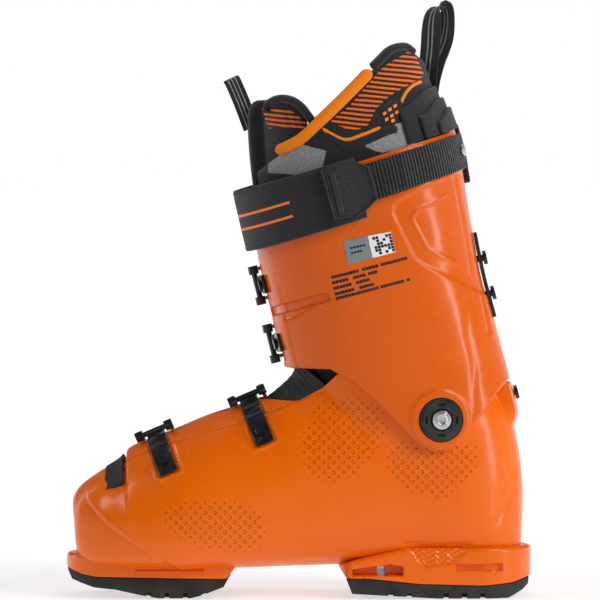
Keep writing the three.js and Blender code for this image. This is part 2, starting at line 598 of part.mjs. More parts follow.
// Bolts down the back: name, rib, and how far the face under the head stands over the form.
const SPINE_BOLTS = [
  ["heel", 17.32, CUFF_OUTSIDE],
  ["lower", 19.62, CUFF_OUTSIDE + 2.6],
  ["upper", 20.38, CUFF_OUTSIDE + 2.6],
];
const spineFrame = ([, u]) => frameAt(u, 1, 0);
const spineBores = SPINE_BOLTS.map((b) => disc(2.4, -20, 20, spineFrame(b), 12));
const lowerShell = cut(
  join(hollowShell, cut(join(toeBlock, heelBlock), shellCavity), heelBoss),
  heelGroove(-1), heelGroove(1), archRecess(-1), archRecess(1),
  ...pivotBores, spineBores[0], ...Object.values(SOLE_SCREWS).flat().map(screwHole),
);
part("lower_shell", lowerShell, ORANGE_SHELL);

// ---- Soles -----------------------------------------------------------------------------------
const lowered = (line) => line.map(([x, z]) => [x, z - GAP]);
const square = (x, y, w, h) => outline([[x - w, y - h], [x + w, y - h], [x + w, y + h], [x - w, y + h]]);
const edgeNotch = (x, sign) => flank(square(x, 0, 1.6, 3.5), sign, 27, 40);
const toeSoleBody = block(
  [...lowered(TOE_JOINT).reverse(), [-148.6, 11.2], [-133.9, 6.8], [-119.7, 5.7], [-102.3, 1.9],
    [-91.4, 0], [-71, 0], [-63, 1.9], [-49, 7.4]],
  soleplan(SOLE_HALF_WIDTH, FRONT + 0.5, -30, 36, 12), 30,
);
const heelSoleBody = block(
  [...lowered(HEEL_JOINT).reverse(), [34.8, 3], [63.6, 1.4], [89.8, 0], [137, 0], [146.3, 4.5], [150.5, 7.7]],
  soleplan(SOLE_HALF_WIDTH + 1.5, 20, BACK - 0.5, 10, 34), 30,
);
const notches = (places) => places.flatMap((x) => [edgeNotch(x, -1), edgeNotch(x, 1)]);
part("toe_sole", cut(
  toeSoleBody, ...SOLE_SCREWS.toe_sole.map(screwHole), ...notches([-98, -86, -74, -62]),
), BLACK_RUBBER);
part("heel_sole", cut(
  heelSoleBody, ...SOLE_SCREWS.heel_sole.map(screwHole), ...notches([60, 72, 96, 108, 120]),
), BLACK_RUBBER);
for (const [sole, screws] of Object.entries(SOLE_SCREWS)) {
  for (const [name, x, y, z] of screws) {
    const screw = join(standing(3.9, z + 0.8, z + 3, x, y), standing(2, z + 2, 19.5, x, y));
    const slot = prism(square(x, y, 2.5, 0.55), z - 1, z + 1.9, FROM_TOP);
    part(`${sole}_screw_${name}`, cut(screw, slot), STEEL);
  }
}

// ---- Boot board and liner --------------------------------------------------------------------
const BOARD_TOP = [[-160, 27.5], [-40, 30], [160, 34]];
const FAR = 220;
const beyond = (line, by, end) => prism(outline([
  [-FAR, line[0][1] + by], ...line.map(([x, z]) => [x, z + by]), [FAR, line.at(-1)[1] + by],
  [FAR, end], [-FAR, end],
]), -80, 80, FROM_SIDE);
const under = (line, by) => beyond(line, by, -40);
const over = (line, by) => beyond(line, by, 480);
const LINER_AROUND = 18;
const LINER_TOP = 26.9;
const linerOutside = (u, v) => {
  const inCuff = smooth(skin(u, v).z, 157, 170);
  return lerp(-SHELL_WALL - 1.3 - flexRoom(u, v), CUFF_INSIDE - 1, inCuff);
};
const linerPlug = (depth, start, top) => plug(20, LINER_AROUND, (s, t) => {
  const u = lerp(start, top, s);
  const v = 2 * t - 1;
  return skin(u, v, linerOutside(u, v) - depth);
});
const linerBody = linerPlug(0, 0.5, LINER_TOP);
const linerHollow = linerPlug(7.5, 1.2, LINER_TOP + 0.1);
const linerWall = cut(linerBody, linerHollow);
const SHAFT_CUT = [[-60, 146], [0, 150], [30, 161], [67, 167], [107, 163], [160, 161]];
const inShell = (depth) => plug(SHELL_ROWS, AROUND.length, shellPlace(depth));
const footRoom = inShell((u, v) => -flexRoom(u, v) - SHELL_WALL - 2 * GAP);
const board = inShell((u, v) => shellOutside(u, v) - SHELL_WALL - GAP);
part("boot_board", board.intersect(under(BOARD_TOP, 0)), BLACK_PLASTIC);
part("liner_foot", cut(
  footRoom, linerHollow.intersect(over(BOARD_TOP, GAP + 5)), under(BOARD_TOP, GAP), over(THROAT, -4),
), LINER_CLOTH);
part("liner_ankle", cut(linerWall, under(THROAT, -4 + GAP), over(SHAFT_CUT, -GAP), shellGrown), LINER_CLOTH);
const tongueSlot = prism(rounded(-40, 0, 100, 44, 4), 100, 400, FROM_TOP);
part("liner_shaft", cut(linerWall, under(SHAFT_CUT, 0), over(COLLAR, 0), tongueSlot), LINER_CLOTH);

const shaftGrown = cut(linerPlug(-GAP, 0.5, LINER_TOP), linerPlug(7.5 + GAP, 1.2, LINER_TOP + 0.1), prism(
  rounded(-40, 0, 100, 44 - 2 * GAP, 4), 100, 400, FROM_TOP,
));
// The tongue stands between the shaft's front edges, and its thin wings tuck in behind them.
const TONGUE_REACH = 0.36;
part("liner_tongue", cut(wall(14, 12, (s, t, face) => {
  const u = lerp(13.6, 26.9, s);
  const v = lerp(-TONGUE_REACH, TONGUE_REACH, t);
  const tuck = smooth(Math.abs(v), 0.06, 0.105);
  const out = lerp(-0.4, -8.6, tuck);
  return skin(u, v, face ? -14 + 2 * tuck : out);
}), under(SHAFT_CUT, 0), over(TONGUE_TOP, 0), shaftGrown), LINER_CLOTH);

// ---- Ankle gasket and toe insert -------------------------------------------------------------
part("instep_gasket", cut(wall(8, 8, (s, t, face) => {
  return skin(lerp(10.9, 14.6, s), lerp(-0.27, 0.27, t), face ? -2 : -0.4);
}), under(THROAT, 1), over(SHAFT_CUT, -GAP), shellGrown), BLACK_RUBBER);
part("toe_insert", cut(wall(5, 6, (s, t, face) => {
  const v = lerp(-0.3, 0.24, t);
  return skin(lerp(4.15, 5.3, s), v, face ? -1 : GAP + 0.4 + 2.4 * s);
}), shellKeepOut), BLACK_PLASTIC);

// ---- Cuff ------------------------------------------------------------------------------------
const CUFF_FLAP_EDGE = 0.15;
const cuffOutside = (u, v) =>
  CUFF_OUTSIDE + (CUFF_DECK - CUFF_OUTSIDE) * smooth(v, -0.32, -0.1) * (v < CUFF_FLAP_EDGE ? 1 : 0);
const CUFF_AROUND = [-1, -0.93, -0.86, -0.78, -0.7, -0.62, -0.54, -0.46, -0.38, -0.3, -0.2, -0.1, 0, 0.08,
  CUFF_FLAP_EDGE - 0.003, CUFF_FLAP_EDGE + 0.01, 0.22, 0.3, 0.38, 0.46, 0.54, 0.62, 0.7, 0.78, 0.86, 0.93];
const hemAt = CUFF_AROUND.map((v) => edgeAt(CUFF_HEM, v, CUFF_OUTSIDE, 11, 18.5));
const cuffTop = (v) => 23.9 + 0.4 * smooth(Math.abs(v), 0.86, 0.95);
const cuffLayer = (outside, inside) => wall(13, CUFF_AROUND.length, (s, t, face) => {
  const j = Math.round(t * CUFF_AROUND.length) % CUFF_AROUND.length;
  const v = CUFF_AROUND[j];
  const u = lerp(hemAt[j], cuffTop(v), s);
  return skin(u, v, face ? inside : outside(u, v));
}, { wrap: true });
const cuffKeepOut = cuffLayer((u, v) => cuffOutside(u, v) + GAP, -12);
for (const b of BUCKLES.slice(2)) buckleParts(b, cuffKeepOut);

// ---- Pivots and spine ------------------------------------------------------------------------
for (const [name, frame] of PIVOTS) {
  const slot = (turn) => prism(
    square(0, 10, 2.4, 0.8), 6, 9, frame.clone().multiply(new THREE.Matrix4().makeRotationZ(turn)),
  );
  const cam = cut(
    join(disc(CAM_RADIUS, 0.5, 7, frame, 20), disc(CAM_RADIUS - 1.6, 6.9, 7.6, frame, 20)),
    disc(PIVOT_BOLT_RADIUS + PIVOT_BOLT_CLEARANCE, -1, 10, frame, 12), disc(7.4, 5.4, 10, frame, 14),
    ...[0, 1, 2, 3].map((n) => slot((n * Math.PI) / 2)),
  );
  part(`pivot_cam_${name}`, cam, BLACK_PLASTIC);
  const bolt = cut(
    join(
      disc(PIVOT_BOLT_RADIUS, -SHELL_WALL, 7, frame, 12), disc(6.2, 5.9, 8.6, frame, 14),
    ),
    disc(2.9, 6.6, 12, frame, 6),
  );
  part(`pivot_bolt_${name}`, bolt, STEEL);
}
part("spine_plate", cut(wall(6, 4, (s, t, face) => {
  return skin(lerp(19.1, 20.9, s), lerp(0.955, 1.045, t), face ? CUFF_OUTSIDE - 2 : CUFF_OUTSIDE + 2.2);
}), cuffKeepOut, spineBores[1], spineBores[2]), BLACK_METAL);
for (const b of SPINE_BOLTS) {
  const seat = b[2] + 0.35;
  const frame = spineFrame(b);
  const foot = b[0] === "heel" ? -4 : CUFF_INSIDE + 0.3;
  const bolt = cut(
    join(disc(2.25, foot, seat + 1, frame, 12), disc(4.6, seat, seat + 2.4, frame, 14)),
    disc(2, seat + 1.2, seat + 5, frame, 6),
  );
  part(`spine_bolt_${b[0]}`, bolt, STEEL);
}

// ---- Power strap -----------------------------------------------------------------------------
const STRAP_END = 0.96; // where the band is riveted on the lateral side
const STRAP_FREE_END = 0.6; // where it ends on the medial side, under the webbing
const strapInside = (v) => CUFF_DECK + 0.4 + 4 * (1 - smooth(Math.abs(v), 0.08, 0.4));
const webbingRise = (v) => lerp(2.3, 0.1, smooth(-v, 0.63, 0.7));
const strapLayer = (rows, columns, u0, u1, v0, v1, low, high) => wall(rows, columns, (s, t, face) => {
  const v = lerp(v0, v1, t);
  return skin(lerp(u0, u1, s), v, face ? strapInside(v) + low : strapInside(v) + high);
});
const STRAP_RIVETS = [["medial", -0.9], ["lateral", 0.9]];
const strapRivets = STRAP_RIVETS.map(([name, v]) => [name, frameAt(23.05, v, strapInside(v))]);
const rivetBores = strapRivets.map(([, frame]) => disc(2.3, -20, 20, frame, 12));
const pivotHoles = PIVOTS.map(([, frame]) => disc(CAM_RADIUS + GAP + 0.2, -10, 20, frame, 20));
part("cuff", cut(
  cuffLayer(cuffOutside, CUFF_INSIDE), ...pivotHoles,
  spineBores[1], spineBores[2], ...rivetBores,
), ORANGE_SHELL);
part("power_strap", cut(
  strapLayer(4, 26, 21.9, 24.1, -STRAP_FREE_END, STRAP_END, 0, 2), ...rivetBores,
), BLACK_FABRIC);
part("strap_webbing", cut(wall(3, 14, (s, t, face) => {
  const v = lerp(-0.95, -0.42, t);
  return skin(lerp(22.35, 23.75, s), v, strapInside(v) + webbingRise(v) + (face ? 0 : 1.9));
}), ...rivetBores), BLACK_FABRIC);
part("strap_slider", strapLayer(3, 5, 22.1, 23.95, -0.54, -0.41, 4.5, 6.6), BLACK_PLASTIC);
for (const [name, frame] of strapRivets) {
  const reach = name === "medial" ? 2.4 : 2.5;
  const shank = disc(1.95, -5.2, reach + 0.6, frame, 12);
  part(`strap_rivet_${name}`, join(shank, disc(4, reach, reach + 1.3, frame, 14)), STEEL);
}

// ---- Spoiler and pull loops ------------------------------------------------------------------
part("spoiler", wall(4, 8, (s, t, face) => {
  return skin(lerp(24.45, 25.7, s), lerp(0.78, 1.22, t), face ? 0.9 : lerp(6, 3.4, s));
}), BLACK_FABRIC);
const LOOP_HALF = 7.5;
const loopShape = outline([
  [81, 345], [83.5, 351], [83.5, 368], [84.5, 380], [90, 386], [97, 388.3], [102, 386], [103.5, 379],
  [101.5, 366], [97, 355], [91, 347], [87, 343.5],
]);
const loopGap = outline([
  [85.6, 352], [85.5, 368], [86.5, 379], [91, 384], [97, 386.2], [100.6, 384.2], [101.5, 378],
  [99.6, 367], [95, 356], [88.5, 350],
]);
part("heel_pull_loop", cut(
  prism(loopShape, -LOOP_HALF, LOOP_HALF, FROM_SIDE), prism(loopGap, -20, 20, FROM_SIDE), linerBody,
), BLACK_FABRIC);
const bandShape = outline([[-48.4, 335], [-39.2, 341.5], [-27.5, 329], [-30, 322], [-35, 306], [-41, 310]]);
part("tongue_pull_loop", cut(
  prism(bandShape, -3.4, 3.4, FROM_SIDE),
  prism(outline([[-60, 300], [-30, 290], [-20, 329], [-37, 338], [-47, 331]]), -1.6, 1.6, FROM_SIDE),
  linerPlug(-0.5, 20, LINER_TOP),
), BLACK_FABRIC);

export default boot;
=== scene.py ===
"""An alpine ski boot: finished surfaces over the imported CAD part.

The scene is in metres. Sizes of the form are written in millimetres, and metres() converts them.
Side-view places are pairs of x and z. On the form, u runs from toe to collar through the ribs, and
v from -1 at the heel over the medial side to 0 on the instep and on over the lateral side to 1.
"""

import math

import bmesh
import bpy
import numpy as np
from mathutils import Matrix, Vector


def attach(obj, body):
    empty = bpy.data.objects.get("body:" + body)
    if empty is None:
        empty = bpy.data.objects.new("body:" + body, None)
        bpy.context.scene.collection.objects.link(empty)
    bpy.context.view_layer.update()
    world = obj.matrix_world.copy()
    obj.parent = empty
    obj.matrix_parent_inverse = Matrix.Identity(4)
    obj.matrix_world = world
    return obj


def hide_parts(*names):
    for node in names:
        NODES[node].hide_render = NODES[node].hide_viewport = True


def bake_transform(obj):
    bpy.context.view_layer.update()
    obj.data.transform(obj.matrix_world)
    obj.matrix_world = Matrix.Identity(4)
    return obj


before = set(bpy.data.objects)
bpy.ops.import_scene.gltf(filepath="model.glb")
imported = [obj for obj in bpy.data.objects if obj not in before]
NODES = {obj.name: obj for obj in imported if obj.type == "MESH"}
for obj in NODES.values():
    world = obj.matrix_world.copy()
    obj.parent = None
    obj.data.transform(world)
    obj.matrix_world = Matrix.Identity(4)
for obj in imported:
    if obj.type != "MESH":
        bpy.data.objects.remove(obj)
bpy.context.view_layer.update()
MM = 0.001
SIDE_SHIFT = 0.9

# ---- Camera, light and floor -------------------------------------------------------------------
VIEW_WIDTH = 0.394
VIEW_CENTRE = Vector((0.0008, 0, 0.1934))
DISTANCE = 3.6
ELEVATION = math.radians(2.2)

camera = bpy.data.objects.new("camera", bpy.data.cameras.new("camera"))
bpy.context.collection.objects.link(camera)
camera.data.sensor_width = 36
camera.data.lens = 36 * DISTANCE / VIEW_WIDTH
camera.location = VIEW_CENTRE + Vector((0, -math.cos(ELEVATION), math.sin(ELEVATION))) * DISTANCE
camera.rotation_euler = (VIEW_CENTRE - camera.location).to_track_quat("-Z", "Y").to_euler()
bpy.context.scene.camera = camera


def area_light(name, place, aim, size, power, colour=(1, 1, 1)):
    lamp = bpy.data.lights.new(name, "AREA")
    lamp.shape = "RECTANGLE"
    lamp.size, lamp.size_y = size
    lamp.energy = power
    lamp.color = colour
    obj = bpy.data.objects.new(name, lamp)
    bpy.context.collection.objects.link(obj)
    obj.location = place
    obj.rotation_euler = (Vector(aim) - Vector(place)).to_track_quat("-Z", "Y").to_euler()
    return obj


area_light("key", (1.35, -1.25, 1.35), (0.03, 0, 0.18), (0.7, 0.7), 19)
area_light("toe_light", (-1.5, -0.7, 1.2), (-0.08, 0, 0.08), (0.5, 0.7), 7)
area_light("top", (0.15, 0.35, 1.7), (0, 0, 0.1), (1.1, 0.7), 7)
area_light("heel_rim", (1.5, -0.75, 0.5), (0.1, 0, 0.17), (0.22, 1.2), 9)
area_light("shin_rim", (-1.4, 0.75, 0.7), (0, 0, 0.25), (0.3, 1.1), 3)
world = bpy.data.worlds.new("studio")
bpy.context.scene.world = world
world.use_nodes = True
bpy.context.scene.view_settings.view_transform = "Standard"


def range_node(tree, source, low, high, from_low=0.0, from_high=1.0, kind="LINEAR"):
    """A node that takes from_low..from_high to low..high."""
    made = tree.nodes.new("ShaderNodeMapRange")
    made.interpolation_type = kind
    for socket, value in zip(("From Min", "From Max", "To Min", "To Max"), (from_low, from_high, low, high)):
        made.inputs[socket].default_value = value
    tree.links.new(source, made.inputs["Value"])
    return made.outputs[0]


def studio_world():
    """White behind the boot at eye level, dimmer in front, above and below."""
    tree = world.node_tree
    tree.nodes["Background"].inputs["Color"].default_value = (1, 1, 1, 1)
    place = tree.nodes.new("ShaderNodeTexCoord")
    axes = tree.nodes.new("ShaderNodeSeparateXYZ")
    size = tree.nodes.new("ShaderNodeMath")
    size.operation = "ABSOLUTE"
    tree.links.new(place.outputs["Generated"], axes.inputs[0])
    tree.links.new(axes.outputs["Z"], size.inputs[0])
    both = tree.nodes.new("ShaderNodeMath")
    both.operation = "MULTIPLY"
    tree.links.new(range_node(tree, size.outputs[0], 1.0, 0.13, 0.08, 0.2), both.inputs[0])
    tree.links.new(range_node(tree, axes.outputs["Y"], 0.45, 1.0, -0.3, 0.2), both.inputs[1])
    tree.links.new(both.outputs[0], tree.nodes["Background"].inputs["Strength"])


studio_world()


# ---- Materials ---------------------------------------------------------------------------------
class Paint:
    """A material's node tree, with short ways to add to it."""

    def __init__(self, name, colour, roughness, metallic=0.0, coat=0.0):
        self.material = bpy.data.materials.new(name)
        self.material.use_nodes = True
        self.tree = self.material.node_tree
        self.shader = self.tree.nodes["Principled BSDF"]
        self.set("Base Color", (*colour, 1))
        self.set("Roughness", roughness)
        self.set("Metallic", metallic)
        self.set("Coat Weight", coat)
        self.set("Coat Roughness", 0.12)
        self.set("Specular IOR Level", 0.22)

    def set(self, socket, value):
        self.shader.inputs[socket].default_value = value

    def node(self, kind, links=(), **settings):
        made = self.tree.nodes.new(kind)
        for key, value in settings.items():
            setattr(made, key, value)
        for socket, source in links:
            self.tree.links.new(source, made.inputs[socket])
        return made

    def link(self, source, socket):
        self.tree.links.new(source, self.shader.inputs[socket])

    def place(self):
        return self.node("ShaderNodeTexCoord").outputs["Object"]

    def uv(self):
        return self.node("ShaderNodeUVMap", uv_map="UVMap").outputs["UV"]

    def noise(self, scale, detail=2.0, vector=None):
        made = self.node("ShaderNodeTexNoise", [("Vector", vector or self.place())])
        made.inputs["Scale"].default_value = scale
        made.inputs["Detail"].default_value = detail
        return made.outputs["Fac"]

    def math(self, operation, a, b=0.5, c=0.5):
        made = self.node("ShaderNodeMath", operation=operation)
        for i, value in enumerate((a, b, c)):
            if isinstance(value, (int, float)):
                made.inputs[i].default_value = value
            else:
                self.tree.links.new(value, made.inputs[i])
        return made.outputs[0]

    def ranged(self, source, *span, **kind):
        return range_node(self.tree, source, *span, **kind)

    def wave(self, source, pitch):
        """A sine of the source, with its pitch in metres."""
        return self.math("SINE", self.math("MULTIPLY", source, 2 * math.pi / pitch))

    def mix(self, factor, a, b):
        made = self.node("ShaderNodeMix", data_type="RGBA")
        for i, value in ((0, factor), (6, a), (7, b)):
            if isinstance(value, (int, float)):
                made.inputs[i].default_value = value
            elif isinstance(value, tuple):
                made.inputs[i].default_value = (*value, 1)
            else:
                self.tree.links.new(value, made.inputs[i])
        return made.outputs[2]

    def attribute(self, name):
        return self.node("ShaderNodeAttribute", attribute_name=name).outputs["Fac"]

    def split(self, vector):
        made = self.node("ShaderNodeSeparateXYZ", [("Vector", vector)])
        return made.outputs

    def bump(self, *layers):
        """Layers of (height source, strength, distance in millimetres), the first one deepest."""
        normal = None
        for height, strength, distance in layers:
            made = self.node("ShaderNodeBump", [("Height", height)])
            made.inputs["Strength"].default_value = strength
            made.inputs["Distance"].default_value = distance * MM
            if normal is not None:
                self.tree.links.new(normal, made.inputs["Normal"])
            normal = made.outputs["Normal"]
        self.link(normal, "Normal")


BLACK = (0.012, 0.012, 0.013)
ORANGE = (0.88, 0.15, 0.0005)
ORANGE_DEEP = (0.76, 0.112, 0.001)
TRIM_ORANGE = (0.95, 0.22, 0.008)


def plastic_shell(name, colour, deep):
    """Glossy shell plastic, with round pits wherever the mesh's dimple value is above 0."""
    paint = Paint(name, colour, 0.25, coat=0.18)
    cloud = paint.noise(9, 2)
    paint.link(paint.mix(paint.ranged(cloud, 0, 0.5, 0.3, 0.7), colour, deep), "Base Color")
    grain = paint.noise(900, 3)
    scuff = paint.noise(60, 5)
    paint.link(paint.ranged(scuff, 0.22, 0.36, 0.35, 0.7), "Roughness")
    x, y, z = paint.split(paint.place())
    across = paint.math("FRACT", paint.math("MULTIPLY", paint.math("ADD", x, z), 1 / 0.0064))
    along = paint.math("FRACT", paint.math("MULTIPLY", paint.math("SUBTRACT", x, z), 1 / 0.0064))
    a = paint.math("SUBTRACT", across, 0.5)
    b = paint.math("SUBTRACT", along, 0.5)
    reach = paint.math("SQRT", paint.math("ADD", paint.math("MULTIPLY", a, a), paint.math("MULTIPLY", b, b)))
    field = paint.attribute("dimple")
    radius = paint.math("MULTIPLY", field, 0.27)
    pit = paint.ranged(paint.math("SUBTRACT", reach, radius), 0, 1, -0.09, 0.03)
    paint.set("Subsurface Weight", 0.02)
    paint.set("Subsurface Radius", (0.01, 0.003, 0.001))
    paint.bump((pit, 1.0, 1.1), (grain, 0.06, 0.25), (scuff, 0.03, 0.6))
    return paint.material


def cloth(name, colour, second=None, pitch=1.1, sheen=0.25, depth=0.35, shade=0.45):
    paint = Paint(name, colour, 0.88)
    paint.set("Sheen Weight", sheen)
    paint.set("Sheen Roughness", 0.5)
    x, y, _ = paint.split(paint.uv())
    weave = paint.math("MULTIPLY", paint.wave(x, pitch * MM), paint.wave(y, pitch * MM))
    fuzz = paint.noise(1500, 3)
    tone = paint.ranged(weave, 0.25, 1.0, -1, 1)
    low, high = tuple(shade * c for c in colour), second or tuple(1.5 * c for c in colour)
    paint.link(paint.mix(tone, low, high), "Base Color")
    paint.bump((weave, 0.8, depth), (fuzz, 0.4, 0.2))
    return paint.material


def ribbed(name, colour, pitch=2.4):
    """Webbing with ribs across it."""
    paint = Paint(name, colour, 0.75)
    x, y, _ = paint.split(paint.uv())
    height = paint.math("ADD", paint.wave(x, pitch * MM), paint.math("MULTIPLY", paint.wave(y, 1.3 * MM), 0.35))
    tone = paint.ranged(height, 0, 1, -1.3, 1.3)
    paint.link(paint.mix(tone, (0.004, 0.004, 0.005), (0.035, 0.035, 0.037)), "Base Color")
    paint.set("Sheen Weight", 0.2)
    paint.bump((height, 1.0, 0.6), (paint.noise(1800, 2), 0.3, 0.15))
    return paint.material


def moulded(name, colour, roughness, grain=0.25, metallic=0.0, coat=0.0, worn=0.03):
    paint = Paint(name, colour, roughness, metallic, coat)
    fine = paint.noise(1400, 3)
    wide = paint.noise(70, 4)
    pale = tuple(c + worn for c in colour)
    paint.link(paint.mix(paint.ranged(wide, 0, 1, 0.3, 0.8), colour, pale), "Base Color")
    paint.link(paint.ranged(wide, roughness - 0.06, roughness + 0.1, 0.3, 0.7), "Roughness")
    paint.bump((fine, grain, 0.2), (wide, 0.05, 0.4))
    return paint.material


def liner_cloth():
    """Black cloth, striped knit where zone is 1 and grey felt where felt is 1."""
    paint = Paint("liner_cloth", BLACK, 0.85)
    x, y, z = paint.split(paint.place())
    level = paint.math("ADD", z, paint.math("MULTIPLY", x, 0.10))
    wobble = paint.math("MULTIPLY", paint.noise(60, 2), 0.0012)
    stripe = paint.wave(paint.math("ADD", level, wobble), 0.0031)
    knit_x = paint.wave(paint.math("ADD", x, y), 0.0021)
    band = paint.ranged(paint.math("ADD", stripe, paint.math("MULTIPLY", knit_x, 0.25)), 0, 1, 0.02, 0.2)
    striped = paint.mix(band, (0.018, 0.014, 0.014), (0.84, 0.15, 0.006))
    fuzz = paint.noise(900, 4)
    felt = paint.mix(paint.ranged(fuzz, 0, 1, 0.35, 0.65), (0.21, 0.21, 0.215), (0.33, 0.33, 0.34))
    dark = paint.mix(paint.ranged(fuzz, 0, 1, 0.3, 0.7), (0.008, 0.008, 0.009), (0.022, 0.022, 0.024))
    is_striped = paint.ranged(paint.attribute("zone"), 0, 1, 0.5, 0.6)
    is_felt = paint.ranged(paint.attribute("felt"), 0, 1, 0.5, 0.6)
    paint.link(paint.mix(is_felt, paint.mix(is_striped, dark, striped), felt), "Base Color")
    paint.set("Sheen Weight", 0.25)
    weave_z = paint.wave(z, 0.0012)
    weave_x = paint.wave(paint.math("SUBTRACT", x, y), 0.0012)
    ridge = paint.math("MULTIPLY", band, is_striped)
    paint.bump((ridge, 0.7, 0.6), (paint.math("MULTIPLY", weave_z, weave_x), 0.5, 0.22), (fuzz, 0.5, 0.3))
    return paint.material


def dimpled(name, colour):
    """Moulded plastic with rows of small hollows."""
    paint = Paint(name, colour, 0.42)
    x, y, _ = paint.split(paint.uv())
    pitch = 2 * math.pi / 2200
    hollows = paint.math("MULTIPLY", *(paint.wave(paint.math(way, x, y), pitch) for way in ("ADD", "SUBTRACT")))
    paint.bump((hollows, 0.8, 0.5), (paint.noise(1500, 2), 0.2, 0.15))
    return paint.material


SHELL = plastic_shell("shell_orange", ORANGE, ORANGE_DEEP)
CUFF = plastic_shell("cuff_orange", (0.76, 0.118, 0.001), (0.68, 0.096, 0.001))
RUBBER = moulded("sole_rubber", (0.018, 0.018, 0.019), 0.62, 0.6)
PLASTIC = moulded("black_plastic", (0.018, 0.018, 0.02), 0.4, 0.3)
PLASTIC_DIMPLED = dimpled("dimpled_plastic", (0.03, 0.03, 0.032))
DARK_METAL = moulded("anodised_black", (0.012, 0.013, 0.016), 0.27, 0.08, 0.35, 0.5, 0.015)
STEEL = moulded("steel", (0.62, 0.62, 0.63), 0.25, 0.1, 1.0)
LINER = liner_cloth()
STRAP = cloth("strap_web", (0.020, 0.020, 0.023), pitch=1.6)
WEBBING = ribbed("rib_webbing", (0.016, 0.016, 0.017))
LOOP = cloth("loop_web", (0.022, 0.022, 0.024), pitch=1.3)
TRIM = cloth("orange_trim", TRIM_ORANGE, (1.0, 0.27, 0.01), pitch=0.9, sheen=0.05, depth=0.1, shade=0.85)
SILVER_THREAD = cloth("silver_thread", (0.42, 0.42, 0.43), pitch=0.7)
PADDING = cloth("black_padding", (0.016, 0.016, 0.018), pitch=0.9, depth=0.15)
INK = moulded("black_ink", (0.01, 0.01, 0.011), 0.4, 0.05)
LABEL_SILVER = moulded("label_silver", (0.27, 0.29, 0.32), 0.3, 0.05, 0.6)
LABEL_WHITE = moulded("label_white", (0.82, 0.83, 0.84), 0.4, 0.05)
ORANGE_PRINT = moulded("orange_print", (0.95, 0.2, 0.01), 0.5, 0.2)

# ---- The form ----------------------------------------------------------------------------------
# near x, near z, far x, far z, medial half width, lateral half width, belly, near power, far power
RIBS = np.array([
    [-148.7, 59, -148.7, 57, 2, 2, 0.5, 2.0, 2.0],
    [-148.2, 64, -147.6, 47, 14, 14, 0.5, 2.1, 2.2],
    [-145.0, 69.8, -145.6, 28, 24, 24, 0.52, 2.2, 2.6],
    [-139.0, 75.3, -139, 19, 32, 32.5, 0.55, 2.3, 3.0],
    [-128, 82.6, -128, 18, 40.5, 41.5, 0.6, 2.3, 3.4],
    [-116, 88.2, -116, 18, 46.5, 48, 0.64, 2.2, 3.4],
    [-108, 95, -106, 18, 50, 52, 0.67, 2.15, 3.4],
    [-92, 101.5, -91, 18, 54, 56, 0.68, 2.1, 3.4],
    [-75, 108.5, -73, 18, 56, 59, 0.67, 2.05, 3.4],
    [-58, 115.5, -53, 18, 55, 59, 0.65, 2.0, 3.3],
    [-40, 121.5, -30, 18.6, 51.5, 56, 0.62, 2.0, 3.2],
    [-25, 128, 5, 19.6, 48.5, 52, 0.58, 2.0, 3.0],
    [-13, 137, 45, 20.5, 46.5, 49, 0.54, 2.1, 2.8],
    [-5, 145, 92, 21, 45, 47, 0.5, 2.2, 2.6],
    [-3, 152, 139, 20.5, 43.5, 45, 0.48, 2.2, 2.5],
    [-3.5, 158, 147.2, 54, 44.5, 46, 0.47, 2.2, 2.3],
    [-5.5, 164, 145.2, 92, 45, 46.5, 0.47, 2.2, 2.3],
    [-8, 171, 138.5, 122, 46, 47.5, 0.48, 2.2, 2.3],
    [-10, 179, 131, 150, 47, 48.5, 0.49, 2.2, 2.3],
    [-12, 188, 123.5, 178, 48.5, 50, 0.5, 2.2, 2.3],
    [-14.5, 199, 115.5, 207, 50, 51.5, 0.5, 2.2, 2.3],
    [-18, 213, 108.7, 240, 52, 53, 0.5, 2.2, 2.3],
    [-22, 230, 104, 272, 54, 55, 0.5, 2.2, 2.3],
    [-26, 247, 100.5, 290, 55.5, 56, 0.5, 2.2, 2.3],
    [-30, 265, 96.5, 305, 55.5, 56, 0.5, 2.2, 2.3],
    [-32.5, 285, 90, 324, 54, 54.5, 0.5, 2.2, 2.3],
    [-34, 308, 83, 345, 50, 50.5, 0.5, 2.2, 2.3],
    [-34, 330, 77, 368, 44, 44.5, 0.5, 2.2, 2.3],
])
LAST_RIB = len(RIBS) - 1
CUFF_HEM = [(-30, 149.5), (20, 149.8), (26, 146.5), (37.5, 139.8), (50, 129.7), (66.5, 113), (74, 105.4),
            (81, 99.5), (88, 97), (97.5, 97.9), (104.5, 102.5), (113.5, 113), (122.5, 123.5), (130, 134.8),
            (138, 141.6), (150, 144)]
THROAT = [(-60, 117), (-45, 123.5), (-33, 124.8), (-20, 127), (-3, 128.4), (4, 129.8), (14, 135.6),
          (24, 145.4), (36, 153), (60, 158), (100, 158), (150, 156)]
COLLAR = [(-40, 270), (-14.3, 289), (20, 319), (53, 348.5), (62, 358), (67, 361.5), (74.5, 357.5), (90, 345)]
TONGUE_TOP = [(-60, 320), (-27, 324), (-16, 326.5), (-5, 324.5), (7, 313), (30, 290)]
SHELL_WALL = 5.0
CUFF_INSIDE = 1.7
CUFF_OUTSIDE = 5.5
CUFF_DECK = 6.8
FLAP_RISE = 3.0
FLEX_CLEARANCE = 5.5
FLAP_EDGE = 0.1
CUFF_FLAP_EDGE = 0.15


def smooth(x, low, high):
    t = np.clip((np.asarray(x, float) - low) / (high - low), 0, 1)
    return t * t * (3 - 2 * t)


def catmull_rom(p0, p1, p2, p3, w):
    """The place at share w of the way from p1 to p2, on a Catmull-Rom curve."""
    return p1 + 0.5 * w * (p2 - p0 + w * (2 * p0 - 5 * p1 + 4 * p2 - p3 + w * (3 * (p1 - p2) + p3 - p0)))


